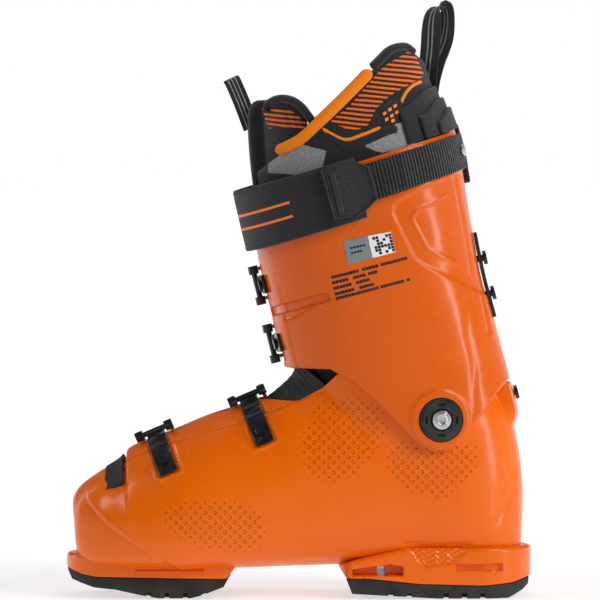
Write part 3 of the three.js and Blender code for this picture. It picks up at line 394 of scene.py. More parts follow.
def rib_values(u):
    """Every rib number at u, on a Catmull-Rom curve through the ribs."""
    ends = np.vstack([2 * RIBS[0] - RIBS[1], RIBS, 2 * RIBS[-1] - RIBS[-2]])
    u = np.clip(u, 0, LAST_RIB - 1e-9)
    i = u.astype(int)
    return catmull_rom(*(ends[i + k] for k in range(4)), (u - i)[:, None])


def run_length(points):
    """How far along a line of points each one is."""
    return np.concatenate([[0], np.cumsum(np.linalg.norm(np.diff(points, axis=0), axis=1))])


def along_line(points, wanted):
    """The places at the wanted lengths along a line of points."""
    length = run_length(points)
    return np.stack([np.interp(wanted, length, points[:, k]) for k in range(points.shape[1])], 1)


def evenly(points, count):
    return along_line(points, np.linspace(0, run_length(points)[-1], count))


def rib_points(u, half_steps):
    """Points around each rib, from the heel over the medial side to the instep and back to the heel."""
    fine = 160
    out = np.zeros((len(u), 2 * half_steps + 1, 3))
    turn = np.linspace(0, math.pi, fine + 1)
    for row, (nx, nz, fx, fz, medial, lateral, belly, np_, fp) in enumerate(rib_values(u)):
        c, s = np.cos(turn), np.abs(np.sin(turn))
        power = np.where(c > 0, np_, fp)
        reach = np.abs(c) ** (2 / power)
        along = np.where(c > 0, belly * (1 - reach), belly + (1 - belly) * reach)
        for side, half in ((-1, medial), (1, lateral)):
            away = side * half * s ** (2 / power)
            points = np.stack([nx + (fx - nx) * along, away, nz + (fz - nz) * along], 1)
            placed = evenly(points, half_steps + 1)
            if side < 0:
                out[row, : half_steps + 1] = placed[::-1]
            else:
                out[row, half_steps:] = placed
    return out


STEPS = 10
HALF = 120
GRID_U = np.linspace(0, LAST_RIB, LAST_RIB * STEPS + 1)
GRID = rib_points(GRID_U, HALF)
_along = np.gradient(GRID, axis=0)
_ring = np.concatenate([GRID[:, -2:-1], GRID, GRID[:, 1:2]], 1)
_around = _ring[:, 2:] - _ring[:, :-2]
NORMALS = np.cross(_along, _around)
NORMALS /= np.linalg.norm(NORMALS, axis=2)[..., None] + 1e-12


def skin(u, v, d=0.0):
    """Points d millimetres outside the form, in millimetres."""
    u, v, d = np.broadcast_arrays(np.asarray(u, float), np.asarray(v, float), np.asarray(d, float))
    v = (v + 1) % 2 - 1
    a = np.clip(u * STEPS, 0, LAST_RIB * STEPS - 1e-6)
    b = np.clip((v + 1) * HALF, 0, 2 * HALF - 1e-6)
    i, j = a.astype(int), b.astype(int)
    fa, fb = (a - i)[..., None], (b - j)[..., None]

    def mix(grid):
        low = grid[i, j] * (1 - fb) + grid[i, j + 1] * fb
        high = grid[i + 1, j] * (1 - fb) + grid[i + 1, j + 1] * fb
        return low * (1 - fa) + high * fa

    normal = mix(NORMALS)
    normal /= np.linalg.norm(normal, axis=-1)[..., None] + 1e-12
    return mix(GRID) + normal * d[..., None]


def height_at(line, x):
    xs, zs = zip(*line)
    return np.interp(x, xs, zs)


def edge_at(line, v, d, low, high):
    """For each v, the u where the surface first rises over a side-view line."""
    u = np.linspace(low, high, 260)
    found = []
    for one in np.atleast_1d(v):
        p = skin(u, one, d)
        over = p[:, 2] - height_at(line, p[:, 0])
        crossing = np.nonzero((over[:-1] < 0) & (over[1:] >= 0))[0]
        if len(crossing) == 0:
            found.append(low if over[0] >= 0 else high)
            continue
        k = crossing[0]
        found.append(u[k] + (u[k + 1] - u[k]) * -over[k] / (over[k + 1] - over[k]))
    return np.array(found)


def find_uv(x, z, side=-1):
    """The u and v whose surface point is at x, z in the side view."""
    half = GRID[:, : HALF + 1] if side < 0 else GRID[:, HALF:]
    miss = (half[..., 0] - x) ** 2 + (half[..., 2] - z) ** 2
    i, j = np.unravel_index(np.argmin(miss), miss.shape)
    u, v = GRID_U[i], (j if side < 0 else j + HALF) / HALF - 1
    for step in (0.05, 0.02, 0.008, 0.003):
        for _ in range(4):
            du, dv = np.meshgrid([-step * 2, 0, step * 2], [-step * 0.2, 0, step * 0.2])
            p = skin(u + du, np.clip(v + dv, -1, 1))
            k = np.argmin((p[..., 0] - x) ** 2 + (p[..., 2] - z) ** 2)
            u, v = u + du.flat[k], v + dv.flat[k]
    return float(u), float(v)


def to_line(poly, x, z):
    """Distance to a side-view line, and which side of it: negative on its left."""
    best = np.full(np.shape(x), 1e9)
    sign = np.ones(np.shape(x))
    for (x0, z0), (x1, z1) in zip(poly, poly[1:]):
        dx, dz = x1 - x0, z1 - z0
        t = np.clip(((x - x0) * dx + (z - z0) * dz) / (dx * dx + dz * dz), 0, 1)
        away = np.hypot(x - x0 - t * dx, z - z0 - t * dz)
        cross = (x - x0) * dz - (z - z0) * dx
        nearer = away < best
        best = np.where(nearer, away, best)
        sign = np.where(nearer, np.sign(cross), sign)
    return best, sign


def inside(poly, x, z):
    hit = np.zeros(np.shape(x), bool)
    for (x0, z0), (x1, z1) in zip(poly, poly[1:] + poly[:1]):
        crosses = (z0 > z) != (z1 > z)
        at = x0 + (z - z0) * (x1 - x0) / ((z1 - z0) or 1e-9)
        hit ^= crosses & (x < at)
    return hit


def depth_in(poly, x, z):
    """Millimetres inside a closed side-view outline, negative outside."""
    away, _ = to_line(poly + poly[:1], x, z)
    return np.where(inside(poly, x, z), away, -away)


# ---- Meshes ------------------------------------------------------------------------------------
def metres(points):
    return (np.asarray(points, float) + np.array([0, SIDE_SHIFT, 0])) * MM


def mesh_object(name, points, faces, material, body=None, uv=None, sharp=35, data=None):
    mesh = bpy.data.meshes.new(name)
    mesh.from_pydata(metres(points).tolist(), [], faces)
    if uv is not None:
        layer = mesh.uv_layers.new(name="UVMap")
        index = np.zeros(len(mesh.loops), np.int32)
        mesh.loops.foreach_get("vertex_index", index)
        layer.data.foreach_set("uv", np.asarray(uv, np.float32)[index].ravel())
    for key, values in (data or {}).items():
        attribute = mesh.attributes.new(key, "FLOAT", "POINT")
        attribute.data.foreach_set("value", np.asarray(values, np.float32))
    mesh.shade_smooth()
    mesh.set_sharp_from_angle(angle=math.radians(sharp))
    mesh.validate()
    obj = bpy.data.objects.new(name, mesh)
    bpy.context.collection.objects.link(obj)
    mesh.materials.append(material)
    work = bmesh.new()
    work.from_mesh(mesh)
    bmesh.ops.recalc_face_normals(work, faces=work.faces)
    work.to_mesh(mesh)
    work.free()
    if body:
        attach(obj, body)
    return obj


def grid_faces(n, m, wrap=False, offset=0, flip=False):
    width = m
    faces = []
    for i in range(n - 1):
        for j in range(m if wrap else m - 1):
            k = (j + 1) % m
            quad = (offset + i * width + j, offset + (i + 1) * width + j, offset + (i + 1) * width + k,
                    offset + i * width + k)
            faces.append(quad[::-1] if flip else quad)
    return faces


def shell_faces(n, m, wrap, pole=False):
    """Faces of an outer and an inner grid of n by m points, joined along their edges."""
    faces = grid_faces(n, m, wrap) + grid_faces(n, m, wrap, n * m, True)
    steps = m if wrap else m - 1
    for j in range(steps):
        k = (j + 1) % m
        last = (n - 1) * m
        faces.append((last + j, n * m + last + j, n * m + last + k, last + k))
        if not pole:
            faces.append((j, k, n * m + k, n * m + j))
    if not wrap:
        for i in range(n - 1):
            faces.append((i * m, n * m + i * m, n * m + (i + 1) * m, (i + 1) * m))
            a, b = i * m + m - 1, (i + 1) * m + m - 1
            faces.append((a, b, n * m + b, n * m + a))
    if pole:
        for base, flip in ((0, False), (n * m, True)):
            ring = [base + j for j in range(m)]
            faces.append(tuple(ring if flip else ring[::-1]))
    return faces


def lengths_uv(points):
    """UVs in metres along and around a grid of points in millimetres."""
    down = np.linalg.norm(np.diff(points, axis=0), axis=2)
    over = np.linalg.norm(np.diff(points, axis=1), axis=2)
    s = np.concatenate([[0], np.cumsum(down.mean(1))])
    t = np.concatenate([[0], np.cumsum(over.mean(0))])
    v, u = np.meshgrid(s, t, indexing="ij")
    return np.stack([u, v], -1) * MM


def clustered(n, pull=0.6):
    x = np.linspace(0, 1, n)
    return (1 - pull) * x + pull * (0.5 - 0.5 * np.cos(np.pi * x))


def pad(name, place, middle, thick, rows, columns, material, body=None, data=None):
    """A band over the form with rounded edges.

    place(s, t) gives u and v, and middle(u, v) the height of its mid-face. data adds mesh attributes.
    """
    s = clustered(rows, 0.75)
    t = clustered(columns, 0.35)
    S, T = np.meshgrid(s, t, indexing="ij")
    u, v = place(S, T)
    mid = middle(u, v) if callable(middle) else np.full(u.shape, float(middle))
    centre = skin(u, v, mid)
    width = np.linalg.norm(np.diff(centre, axis=0), axis=2).sum(0)[None, :]
    length = np.linalg.norm(np.diff(centre, axis=1), axis=2).sum(1)[:, None]
    edge = np.minimum(np.minimum(S, 1 - S) * width, np.minimum(T, 1 - T) * length)
    full = thick(u, v) if callable(thick) else np.full(u.shape, float(thick))
    r = np.maximum(full / 2, 0.3)
    bulge = np.sqrt(np.clip(1 - (1 - np.clip(edge / r, 0, 1)) ** 2, 0.02, 1))
    outer = skin(u, v, mid + full / 2 * bulge)
    inner = skin(u, v, mid - full / 2 * bulge)
    n, m = u.shape
    points = np.concatenate([outer.reshape(-1, 3), inner.reshape(-1, 3)])
    uv = np.concatenate([lengths_uv(outer).reshape(-1, 2)] * 2)
    values = None
    if data:
        values = {
            key: np.concatenate([value(u, v, face).ravel() for face in (outer, inner)])
            for key, value in data.items()
        }
    return mesh_object(name, points, shell_faces(n, m, False), material, body, uv, 60, values)


def tube(name, path, radii, material, body=None, sides=14, squash=1.0, up=(0, 1, 0)):
    """A tube along points in millimetres, with a radius for each, closed at both ends."""
    path = np.asarray(path, float)
    radii = np.broadcast_to(np.asarray(radii, float), len(path))
    ahead = np.gradient(path, axis=0)
    ahead /= np.linalg.norm(ahead, axis=1)[:, None]
    side = np.cross(ahead, np.asarray(up, float))
    side /= np.linalg.norm(side, axis=1)[:, None] + 1e-9
    lift = np.cross(side, ahead)
    turn = np.linspace(0, 2 * math.pi, sides, endpoint=False)
    across, over = np.cos(turn)[None, :, None], (squash * np.sin(turn))[None, :, None]
    ring = side[:, None] * across + lift[:, None] * over
    points = path[:, None] + ring * radii[:, None, None]
    uv = lengths_uv(points).reshape(-1, 2)
    n = len(path)
    faces = grid_faces(n, sides, True)
    faces += [tuple(range(sides))[::-1], tuple(range((n - 1) * sides, n * sides))]
    return mesh_object(name, points.reshape(-1, 3), faces, material, body, uv, 70)


def spline(points, count):
    """A smooth curve through points, evenly sampled."""
    p = np.asarray(points, float)
    ends = np.vstack([2 * p[0] - p[1], p, 2 * p[-1] - p[-2]])
    out = []
    for i in range(len(p) - 1):
        out += [catmull_rom(*ends[i : i + 4], w) for w in np.linspace(0, 1, 16, endpoint=False)]
    out.append(p[-1])
    return evenly(np.array(out), count)


def on_surface(line, d, side=-1, count=40):
    """A side-view line laid on the form, d millimetres out."""
    path = []
    for x, z in spline(line, count):
        u, v = find_uv(x, z, side)
        path.append(skin(u, v, d))
    return np.array(path)


def decal(name, corners, d, thick, material, body, side=-1):
    """A thin plate on the form between four side-view corners, given in order around it."""
    a, b, c, e = (find_uv(*p, side) for p in corners)

    def place(s, t):
        return tuple(lerp(lerp(a[k], b[k], t), lerp(e[k], c[k], t), s) for k in (0, 1))

    return pad(name, place, d, thick, 10, 10, material, body)


def lerp(a, b, t):
    return a + (b - a) * t


def groove(line, depth, width, x, z):
    away, _ = to_line(line, x, z)
    return -depth * np.exp(-((away / width) ** 2))


def step_at(line, height, width, reach, x, z):
    """A rise on the left of a line, dying out away from it."""
    away, side = to_line(line, x, z)
    return height * smooth(-away * side, -width, width) * np.exp(-((away / reach) ** 2))


# ---- Lower shell -------------------------------------------------------------------------------
TOE_CREASE = [(-138.4, 68), (-137.1, 63.4), (-123.9, 49.6), (-107.5, 38.4), (-95.7, 31.8), (-80.6, 22.7)]
ARCH_RIDGE = [(0.8, 27.2), (40.9, 27.9), (63.9, 25.3)]
HEEL_CREASE = [(134.8, 88.3), (140.7, 70.6), (129.5, 50.9)]
CHEVRON_PANEL = [(66, 37.5), (115, 37), (102, 22.4), (81.4, 19.6)]
DIMPLE_FIELDS = [
    [(-92.4, 62), (-78, 67.3), (-38.6, 67.3), (-21.5, 58.8), (-17.6, 39.1), (-32, 27.9), (-64.8, 32.5),
     (-87.8, 45.6)],
    [(8.7, 130.3), (33.7, 135.6), (56, 127.7), (61.2, 111.3), (48.1, 88.3), (25.8, 72.6), (3.4, 77.8),
     (-3.1, 101.4)],
    [(54.7, 104.1), (86.2, 108), (120.3, 102.8), (117.7, 80.4), (96.7, 62), (69.1, 67.3), (53.3, 84.4)],
]


def flex_room(u, v):
    return FLEX_CLEARANCE * smooth(skin(u, v)[..., 2], 118, 146) * smooth(np.abs(v), 0.5, 0.82)


def flap_rise(u, v):
    rise = smooth(u, 5.35, 5.75) * (1 - smooth(u, 11.4, 12.6)) * smooth(v, -0.55, -0.12)
    return FLAP_RISE * rise * (v < FLAP_EDGE)


def node_outline(name, grow=0.0):
    """The convex side-view outline of a CAD node, in millimetres."""
    points = sorted({(round(v.co.x * 1000, 2), round(v.co.z * 1000, 2)) for v in NODES[name].data.vertices})

    def half(ordered):
        chain = []
        for p in ordered:
            while len(chain) > 1:
                (ax, az), (bx, bz) = chain[-2:]
                if (bx - ax) * (p[1] - az) - (bz - az) * (p[0] - ax) > 0:
                    break
                chain.pop()
            chain.append(p)
        return chain[:-1]

    hull = np.array(half(points) + half(points[::-1]))
    centre = hull.mean(0)
    away = np.linalg.norm(hull - centre, axis=1)[:, None]
    return [tuple(p) for p in hull + (hull - centre) / away * grow]


LADDER_SEATS = [node_outline(n, 1.2) for n in ("toe_ladder", "instep_ladder")]


def chevrons(x, z):
    """Ridges inside the textured panel over the heel block."""
    within = smooth(depth_in(CHEVRON_PANEL, x, z), 0.2, 1.2)
    zigzag = np.abs((x / 4.2) % 2 - 1)
    ridge = 0.5 + 0.5 * np.sin((z + 3.2 * zigzag) * 2 * math.pi / 3.4)
    return within * (-1.5 + 0.8 * ridge)


def shell_relief(x, z):
    relief = step_at(TOE_CREASE, 1.5, 1.0, 16, x, z)
    relief += groove(HEEL_CREASE, 0.8, 1.8, x, z)
    relief -= groove(ARCH_RIDGE, 0.7, 1.1, x, z)
    return relief + chevrons(x, z)


def shell_outside(u, v):
    p = skin(u, v)
    x, z = p[..., 0], p[..., 2]
    out = flap_rise(u, v) - flex_room(u, v) + shell_relief(x, z) * smooth(np.abs(v), 0.12, 0.3)
    for seat in LADDER_SEATS:
        depth = depth_in(seat, x, z)
        lip = 1.1 * np.exp(-(((depth + 1.6) / 0.8) ** 2)) * (v < 0) * smooth(-v, 0.08, 0.16)
        out = out + lip
    return out


def sorted_columns(count, *edges):
    """Values of v around the boot, with a close pair at each free edge."""
    even = np.linspace(-1, 1, count, endpoint=False)
    pairs = [x for edge in edges for x in (edge - 0.0012, edge + 0.0012)]
    keep = [x for x in even if all(abs(x - p) > 0.002 for p in pairs)]
    return np.array(sorted(keep + pairs))


def shell_grid(rows, columns):
    v = sorted_columns(columns, FLAP_EDGE)
    top = edge_at(THROAT, v, 0, 9.4, 22)
    s = np.linspace(0, 1, rows)[:, None] ** 1.12
    s = np.concatenate([s, [[1.0]]])
    return s * top[None, :], np.broadcast_to(v, (len(s), len(v)))


def lower_shell():
    u, v = shell_grid(210, 360)
    d = shell_outside(u, v)
    wall = np.full(u.shape, SHELL_WALL)
    d[-1] -= 0.9
    wall[-1] -= 1.8
    outer = skin(u, v, d)
    inner = skin(u, v, d - wall)
    field = np.zeros(u.shape)
    for poly in DIMPLE_FIELDS:
        field = np.maximum(field, smooth(depth_in(poly, outer[..., 0], outer[..., 2]), -1, 9))
    points = np.concatenate([outer.reshape(-1, 3), inner.reshape(-1, 3)])
    uv = np.concatenate([lengths_uv(outer).reshape(-1, 2)] * 2)
    dimple = np.concatenate([field.ravel(), np.zeros(field.size)])
    made = mesh_object(
        "lower_shell_visual", points, shell_faces(*u.shape, True, True), SHELL, "lower_boot", uv, 38,
        {"dimple": dimple},
    )
    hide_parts("lower_shell")
    return made


lower_shell()


def cut_with(obj, tools):
    """Cuts tools out of obj for good."""
    for tool in tools:
        cutter = obj.modifiers.new("cut", "BOOLEAN")
        cutter.operation = "DIFFERENCE"
        cutter.solver = "EXACT"
        cutter.object = tool
    bpy.context.view_layer.update()
    made = bpy.data.meshes.new_from_object(obj.evaluated_get(bpy.context.evaluated_depsgraph_get()))
    obj.modifiers.clear()
    obj.data = made
    for tool in tools:
        bpy.data.objects.remove(tool)


def axis_cylinder(node, radius, out, inwards):
    """A cylinder about the middle of a round CAD node, along the way it faces."""
    co = np.array([v.co for v in NODES[node].data.vertices])
    middle = co.mean(0)
    axis = np.linalg.svd(co - middle, full_matrices=False)[2][2]
    depth = (out + inwards) * MM
    bpy.ops.mesh.primitive_cylinder_add(vertices=96, radius=radius * MM, depth=depth, location=middle)
    tool = bpy.context.active_object
    tool.rotation_euler = Vector(axis).to_track_quat("Z", "Y").to_euler()
    return tool


def hole_tool(x, z, radius):
    """A cylinder square to the cuff, at a side-view place."""
    u, v = find_uv(x, z)
    low, high = metres(np.array([skin(u, v, CUFF_INSIDE - 1), skin(u, v, CUFF_OUTSIDE + 3)]))
    bpy.ops.mesh.primitive_cylinder_add(
        vertices=32, radius=radius * MM, depth=float(np.linalg.norm(high - low)), location=(low + high) / 2,
    )
    tool = bpy.context.active_object
    tool.rotation_euler = Vector(high - low).to_track_quat("Z", "Y").to_euler()
    return tool


def plan_ring(half, front, back, front_round, back_round, step=1.1):
    """Points and outward directions around a rounded plan."""
    flank = np.arange(front + front_round, back - back_round, step)
    turn = np.linspace(-math.pi / 2, math.pi / 2, 50)
    rear = np.stack([back - back_round + back_round * np.cos(turn), half * np.sin(turn)], 1)
    nose = np.stack([front + front_round - front_round * np.cos(turn), -half * np.sin(turn)], 1)
    medial = np.stack([flank, np.full(len(flank), -half)], 1)
    ring = np.concatenate([medial[1:-1], rear, medial[1:-1][::-1] * [1, -1], nose])
    ahead = np.roll(ring, -1, 0) - np.roll(ring, 1, 0)
    out = np.stack([ahead[:, 1], -ahead[:, 0]], 1)
    return ring, out / np.linalg.norm(out, axis=1)[:, None]


def sole_block(name, plan, bottom, top, relief, levels=34, round_top=2.6):
    ring, out = plan
    low = height_at(bottom, ring[:, 0])
    high = height_at(top, ring[:, 0])
    t = clustered(levels, 0.25)
    z = low[None, :] + (high - low)[None, :] * t[:, None]
    from_top = np.clip(high[None, :] - z, 0, round_top)
    from_low = np.clip(z - low[None, :], 0, 0.8)
    inset = round_top - np.sqrt(np.maximum(round_top**2 - (round_top - from_top) ** 2, 0))
    inset += 0.8 - np.sqrt(np.maximum(0.64 - (0.8 - from_low) ** 2, 0))
    flank = np.abs(out[:, 1])[None, :] > 0.9
    shift = -inset + relief(np.broadcast_to(ring[:, 0], z.shape), z) * flank
    points = np.stack([
        ring[:, 0] + out[:, 0] * shift, ring[:, 1] + out[:, 1] * shift, z,
    ], -1)
    n, m = z.shape
    faces = grid_faces(n, m, True)
    faces += [tuple(range(m))[::-1], tuple(range((n - 1) * m, n * m))]
    uv = lengths_uv(points).reshape(-1, 2)
    data = {"dimple": np.zeros(n * m)}
    return mesh_object(name, points.reshape(-1, 3), faces, SHELL, "lower_boot", uv, 30, data)


def rounded_box_depth(cx, cz, w, h, x, z):
    return np.minimum(w / 2 - np.abs(x - cx), h / 2 - np.abs(z - cz))


def heel_block_relief(x, z):
    groove_in = smooth(rounded_box_depth(121, 20.3, 38, 4.4, x, z), -0.3, 0.5)
    pocket = smooth(depth_in([(34, 14.6), (68, 14.6), (68, 20.6), (60, 22), (34, 18.8)], x, z), -0.2, 0.9)
    return -3 * groove_in - 9 * pocket + chevrons(x, z)


def toe_block_relief(x, z):
    return -1.3 * smooth(rounded_box_depth(-84, 19.4, 44, 2.6, x, z), -0.3, 0.6)


sole_block(
    "toe_block", plan_ring(34.5, -152.5, -38, 36, 5),
    [(-152.5, 18.6), (-143, 15.2), (-134, 13.8), (-47.5, 12.4), (-44.5, 16), (-38, 24)],
    [(-152.5, 28), (-60, 28), (-38, 26)], toe_block_relief,
)
heel_block = sole_block(
    "heel_block", plan_ring(36, 25, 152.5, 10, 34),
    [(25, 21), (31, 12.8), (46, 12.8), (78, 9.3), (120, 8.2), (140, 9.8), (152.5, 13.2)],
    [(25, 22.4), (58, 30), (70, 33), (152.5, 33)], heel_block_relief,
)
bpy.ops.mesh.primitive_cube_add(size=1, location=(0.0538, 0, 0.0172), scale=(0.0052, 0.09, 0.0056))
cut_with(heel_block, [bpy.context.active_object])


def heel_boss():
    """The raised block behind the heel that the rear bolt goes into."""
    u, v = np.meshgrid(np.linspace(16.45, 17.55, 30), np.linspace(0.9, 1.1, 26), indexing="ij")
    edge = np.minimum(smooth(v, 0.9, 0.925), smooth(-v, -1.1, -1.075))
    room = flex_room(u, np.ones_like(u))
    rise = lerp(-1 - room, CUFF_OUTSIDE, smooth(u, 16.45, 16.95) * edge)
    points = np.concatenate([skin(u, v, rise).reshape(-1, 3), skin(u, v, -room - 2.5).reshape(-1, 3)])
    data = {"dimple": np.zeros(2 * u.size)}
    mesh_object("heel_boss", points, shell_faces(*u.shape, False), SHELL, "lower_boot", None, 35, data)


heel_boss()

# ---- Cuff --------------------------------------------------------------------------------------
PIVOT = (91.6, 117.6)
PANEL_OUTER = [(94.7, 273.5), (71.7, 263.6), (61.9, 257.1), (61.2, 251.1), (68.5, 236), (75.7, 222.3),
               (80.9, 218.3), (108.5, 204.5)]
PANEL_INNER = [(96, 263), (77, 253.8), (73, 248.5), (83.6, 228.2), (102.6, 219)]
SPINE_LINE = [(102.6, 275.4), (107.8, 244.6), (113.8, 212.4), (119, 201.2), (124.3, 173.7)]
REAR_FACET = [(109.2, 193.4), (109.8, 174.3), (114.4, 153.3), (113.8, 134.9), (114.4, 123.8)]
FLEX_SLOT = [(-18.9, 185.8), (-9.7, 188.8), (17.2, 196.7)]
SLOT_LIP = [(-9.7, 180.9), (-3.1, 183.5), (18.5, 191.7)]
FRONT_FACET = [(-29.4, 235.4), (-24.1, 218.3), (-18.2, 193.4)]
LOWER_FACET = [(-7.7, 178.9), (-4.4, 164.5), (0.8, 147.4)]


def cuff_outside(u, v):
    deck = (CUFF_DECK - CUFF_OUTSIDE) * smooth(v, -0.32, -0.1) * (v < CUFF_FLAP_EDGE)
    p = skin(u, v, CUFF_OUTSIDE)
    x, z = p[..., 0], p[..., 2]
    relief = step_at(PANEL_OUTER, -1.3, 0.9, 34, x, z) - groove(PANEL_INNER, 0.8, 0.9, x, z)
    relief += groove(SPINE_LINE, 0.9, 1.1, x, z) + groove(REAR_FACET, 0.5, 2.6, x, z)
    away = np.hypot(x - PIVOT[0], z - PIVOT[1])
    relief += 1.0 * smooth(-away, -21, -17.5)
    relief *= smooth(np.abs(v), 0.05, 0.2)
    slot = smooth(-to_line(FLEX_SLOT, x, z)[0], -3.6, -2.2)
    front = -2.6 * slot - groove(SLOT_LIP, 0.9, 0.9, x, z)
    front += step_at(FRONT_FACET, -0.9, 0.9, 22, x, z) + step_at(LOWER_FACET, -0.9, 0.9, 22, x, z)
    return CUFF_OUTSIDE + deck + relief + front * (v < 0.02)


def cuff_top(v):
    return 23.9 + 0.4 * smooth(np.abs(v), 0.86, 0.95)


def cuff():
    v = sorted_columns(340, CUFF_FLAP_EDGE)
    hem = edge_at(CUFF_HEM, v, CUFF_OUTSIDE, 11, 18.5)
    s = clustered(170, 0.15)[:, None]
    u = lerp(hem[None, :], cuff_top(v)[None, :], s)
    V = np.broadcast_to(v, u.shape)
    d = cuff_outside(u, V)
    outer_d, inner_d = d.copy(), np.full(u.shape, CUFF_INSIDE)
    for row, ease in ((0, 1.0), (1, 0.35), (-1, 1.0), (-2, 0.35)):
        outer_d[row] -= ease * 0.9
        inner_d[row] += ease * 0.6
    outer, inner = skin(u, V, outer_d), skin(u, V, inner_d)
    points = np.concatenate([outer.reshape(-1, 3), inner.reshape(-1, 3)])
    uv = np.concatenate([lengths_uv(outer).reshape(-1, 2)] * 2)
    made = mesh_object(
        "cuff_visual", points, shell_faces(*u.shape, True), CUFF, None, uv, 38,
        {"dimple": np.zeros(2 * u.size)},
    )
    tools = [axis_cylinder(f"pivot_cam_{side}", 14.6, 30, 30) for side in ("medial", "lateral")]
    cut_with(made, tools + [hole_tool(-18.2, 210.4, 1.6), hole_tool(-8.4, 167.1, 1.6)])
    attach(made, "cuff")
    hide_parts("cuff")
    return made


cuff()


# ---- Flat marks on the cuff --------------------------------------------------------------------
def marks(name, quads, d, thick, material, body, side=-1):
    """Many small plates in one mesh, each between four side-view corners."""
    points, faces = [], []
    for quad in quads:
        base = len(points)
        spots = [find_uv(x, z, side) for x, z in quad]
        for lift in (0, thick):
            points += [skin(u, v, (d(u, v) if callable(d) else d) + lift) for u, v in spots]
        n = len(quad)
        faces.append(tuple(base + k for k in range(n))[::-1])
        faces.append(tuple(base + n + k for k in range(n)))
        faces += [(base + k, base + (k + 1) % n, base + n + (k + 1) % n, base + n + k) for k in range(n)]
    return mesh_object(name, np.array(points), faces, material, body, None, 30)


def bar_quads(start, end, thick, gaps=()):
    """A slanted row of small bars between two side-view places, with gaps at shares of its length."""
    (x0, z0), (x1, z1) = start, end
    stops = [0, *[g for pair in gaps for g in pair], 1]
    length = math.hypot(x1 - x0, z1 - z0)
    nx, nz = -(z1 - z0) / length * thick / 2, (x1 - x0) / length * thick / 2
    quads = []
    for first, last in zip(stops[::2], stops[1::2]):
        pieces = max(1, round((last - first) * length / 2.0))
        for k in range(pieces):
            a, b = lerp(first, last, k / pieces), lerp(first, last, (k + 0.86) / pieces)
            ax, az, bx, bz = lerp(x0, x1, a), lerp(z0, z1, a), lerp(x0, x1, b), lerp(z0, z1, b)
            quads.append([(ax - nx, az - nz), (bx - nx, bz - nz), (bx + nx, bz + nz), (ax + nx, az + nz)])
    return quads


def cuff_face(u, v, lift=0.04):
    return float(cuff_outside(np.array([u]), np.array([v]))[0]) + lift


LABEL_LIFT = 5.72
MARK_LIFT = 5.84
LABEL_PARTS = {
    "label_silver": ([(29.4, 234.1), (44.2, 237.4), (47.4, 222.9), (32.3, 219)], LABEL_SILVER),
    "label_white": ([(44.4, 237.4), (58.6, 240), (61.9, 226.9), (47.7, 223.2)], LABEL_WHITE),
}
for name, (corners, material) in LABEL_PARTS.items():
    decal(name, corners, LABEL_LIFT, 0.2, material, "cuff")
dots = []
for i in range(6):
    for j in range(6):
        if (i * 5 + j * 3 + i * j) % 4 < 2:
            x, z = 47.1 + 1.97 * i + 0.49 * j, 236.5 + 0.43 * i - 1.97 * j
            dots.append([(x, z), (x + 1.7, z + 0.36), (x + 2.1, z - 1.31), (x + 0.4, z - 1.7)])
marks("label_dots", dots, MARK_LIFT, 0.06, INK, "cuff")
SIGN = [
    ((33.5, 229.6), (43.2, 231.8), 1.3),
    ((34.2, 226.4), (41.2, 228), 1.3),
]
marks("label_sign", [quad for bar in SIGN for quad in bar_quads(*bar)], MARK_LIFT, 0.06, INK, "cuff")
ROWS = [
    ((22.5, 210.8), (69.1, 222.9), ((0.36, 0.4), (0.62, 0.65))),
    ((23.1, 207.2), (50.7, 214.4), ((0.36, 0.46), (0.74, 0.79))),
    ((23.8, 203.5), (46.1, 209.5), ((0.5, 0.62),)),
    ((24.8, 199.9), (48.8, 206.5), ((0.5, 0.62),)),
    ((25.4, 197), (71.1, 209.1), ((0.58, 0.6), (0.92, 0.95))),
]
printed = [quad for start, end, gaps in ROWS for quad in bar_quads(start, end, 1.9, gaps)]
marks("cuff_print", printed, cuff_face, 0.1, INK, "cuff")

# ---- Liner -------------------------------------------------------------------------------------
KNIT = [(20.5, 310.9), (33.7, 322.1), (54.7, 346.4), (74.4, 358.2), (82.2, 340.4), (65.2, 331.3),
        (55.3, 324.7), (49.4, 318.1), (44.2, 307.6), (33.7, 304.3)]
FELT = [[(-18.9, 294.5), (0.8, 296.5), (17.9, 291.9), (14, 275.4), (-20.2, 277.4)],
        [(44.2, 302.4), (65.2, 310.2), (74.4, 312.9), (75.7, 294.5), (53.3, 290.5), (42.8, 294.5)]]


def liner_out(u, v):
    in_cuff = smooth(skin(u, v)[..., 2], 157, 170)
    return lerp(-SHELL_WALL - 1.3 - flex_room(u, v), CUFF_INSIDE - 1.0, in_cuff)


def in_knit(u, v, p):
    return smooth(depth_in(KNIT, p[..., 0], p[..., 2]), -0.6, 0.6)


def in_felt(u, v, p):
    return np.maximum(*(smooth(depth_in(poly, p[..., 0], p[..., 2]), -0.6, 0.6) for poly in FELT))


def liner():
    columns = np.linspace(0.115, 1.885, 220)
    around = np.where(columns > 1, columns - 2, columns)
    top = edge_at(COLLAR, around, CUFF_INSIDE - 1.0, 18, 27)
    base = edge_at([(-60, 121), (0, 124), (60, 150), (150, 150)], around, -6, 9, 20)

    def place(s, t):
        V = columns[0] + t * (columns[-1] - columns[0])
        return lerp(np.interp(V, columns, base), np.interp(V, columns, top), s), V

    def middle(u, v):
        return liner_out(u, (v + 1) % 2 - 1) - 3.75

    data = {"zone": in_knit, "felt": in_felt}
    made = pad("liner_visual", place, middle, 7.5, 130, 320, LINER, None, data=data)
    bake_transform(made)
    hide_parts("liner_ankle", "liner_shaft")


liner()


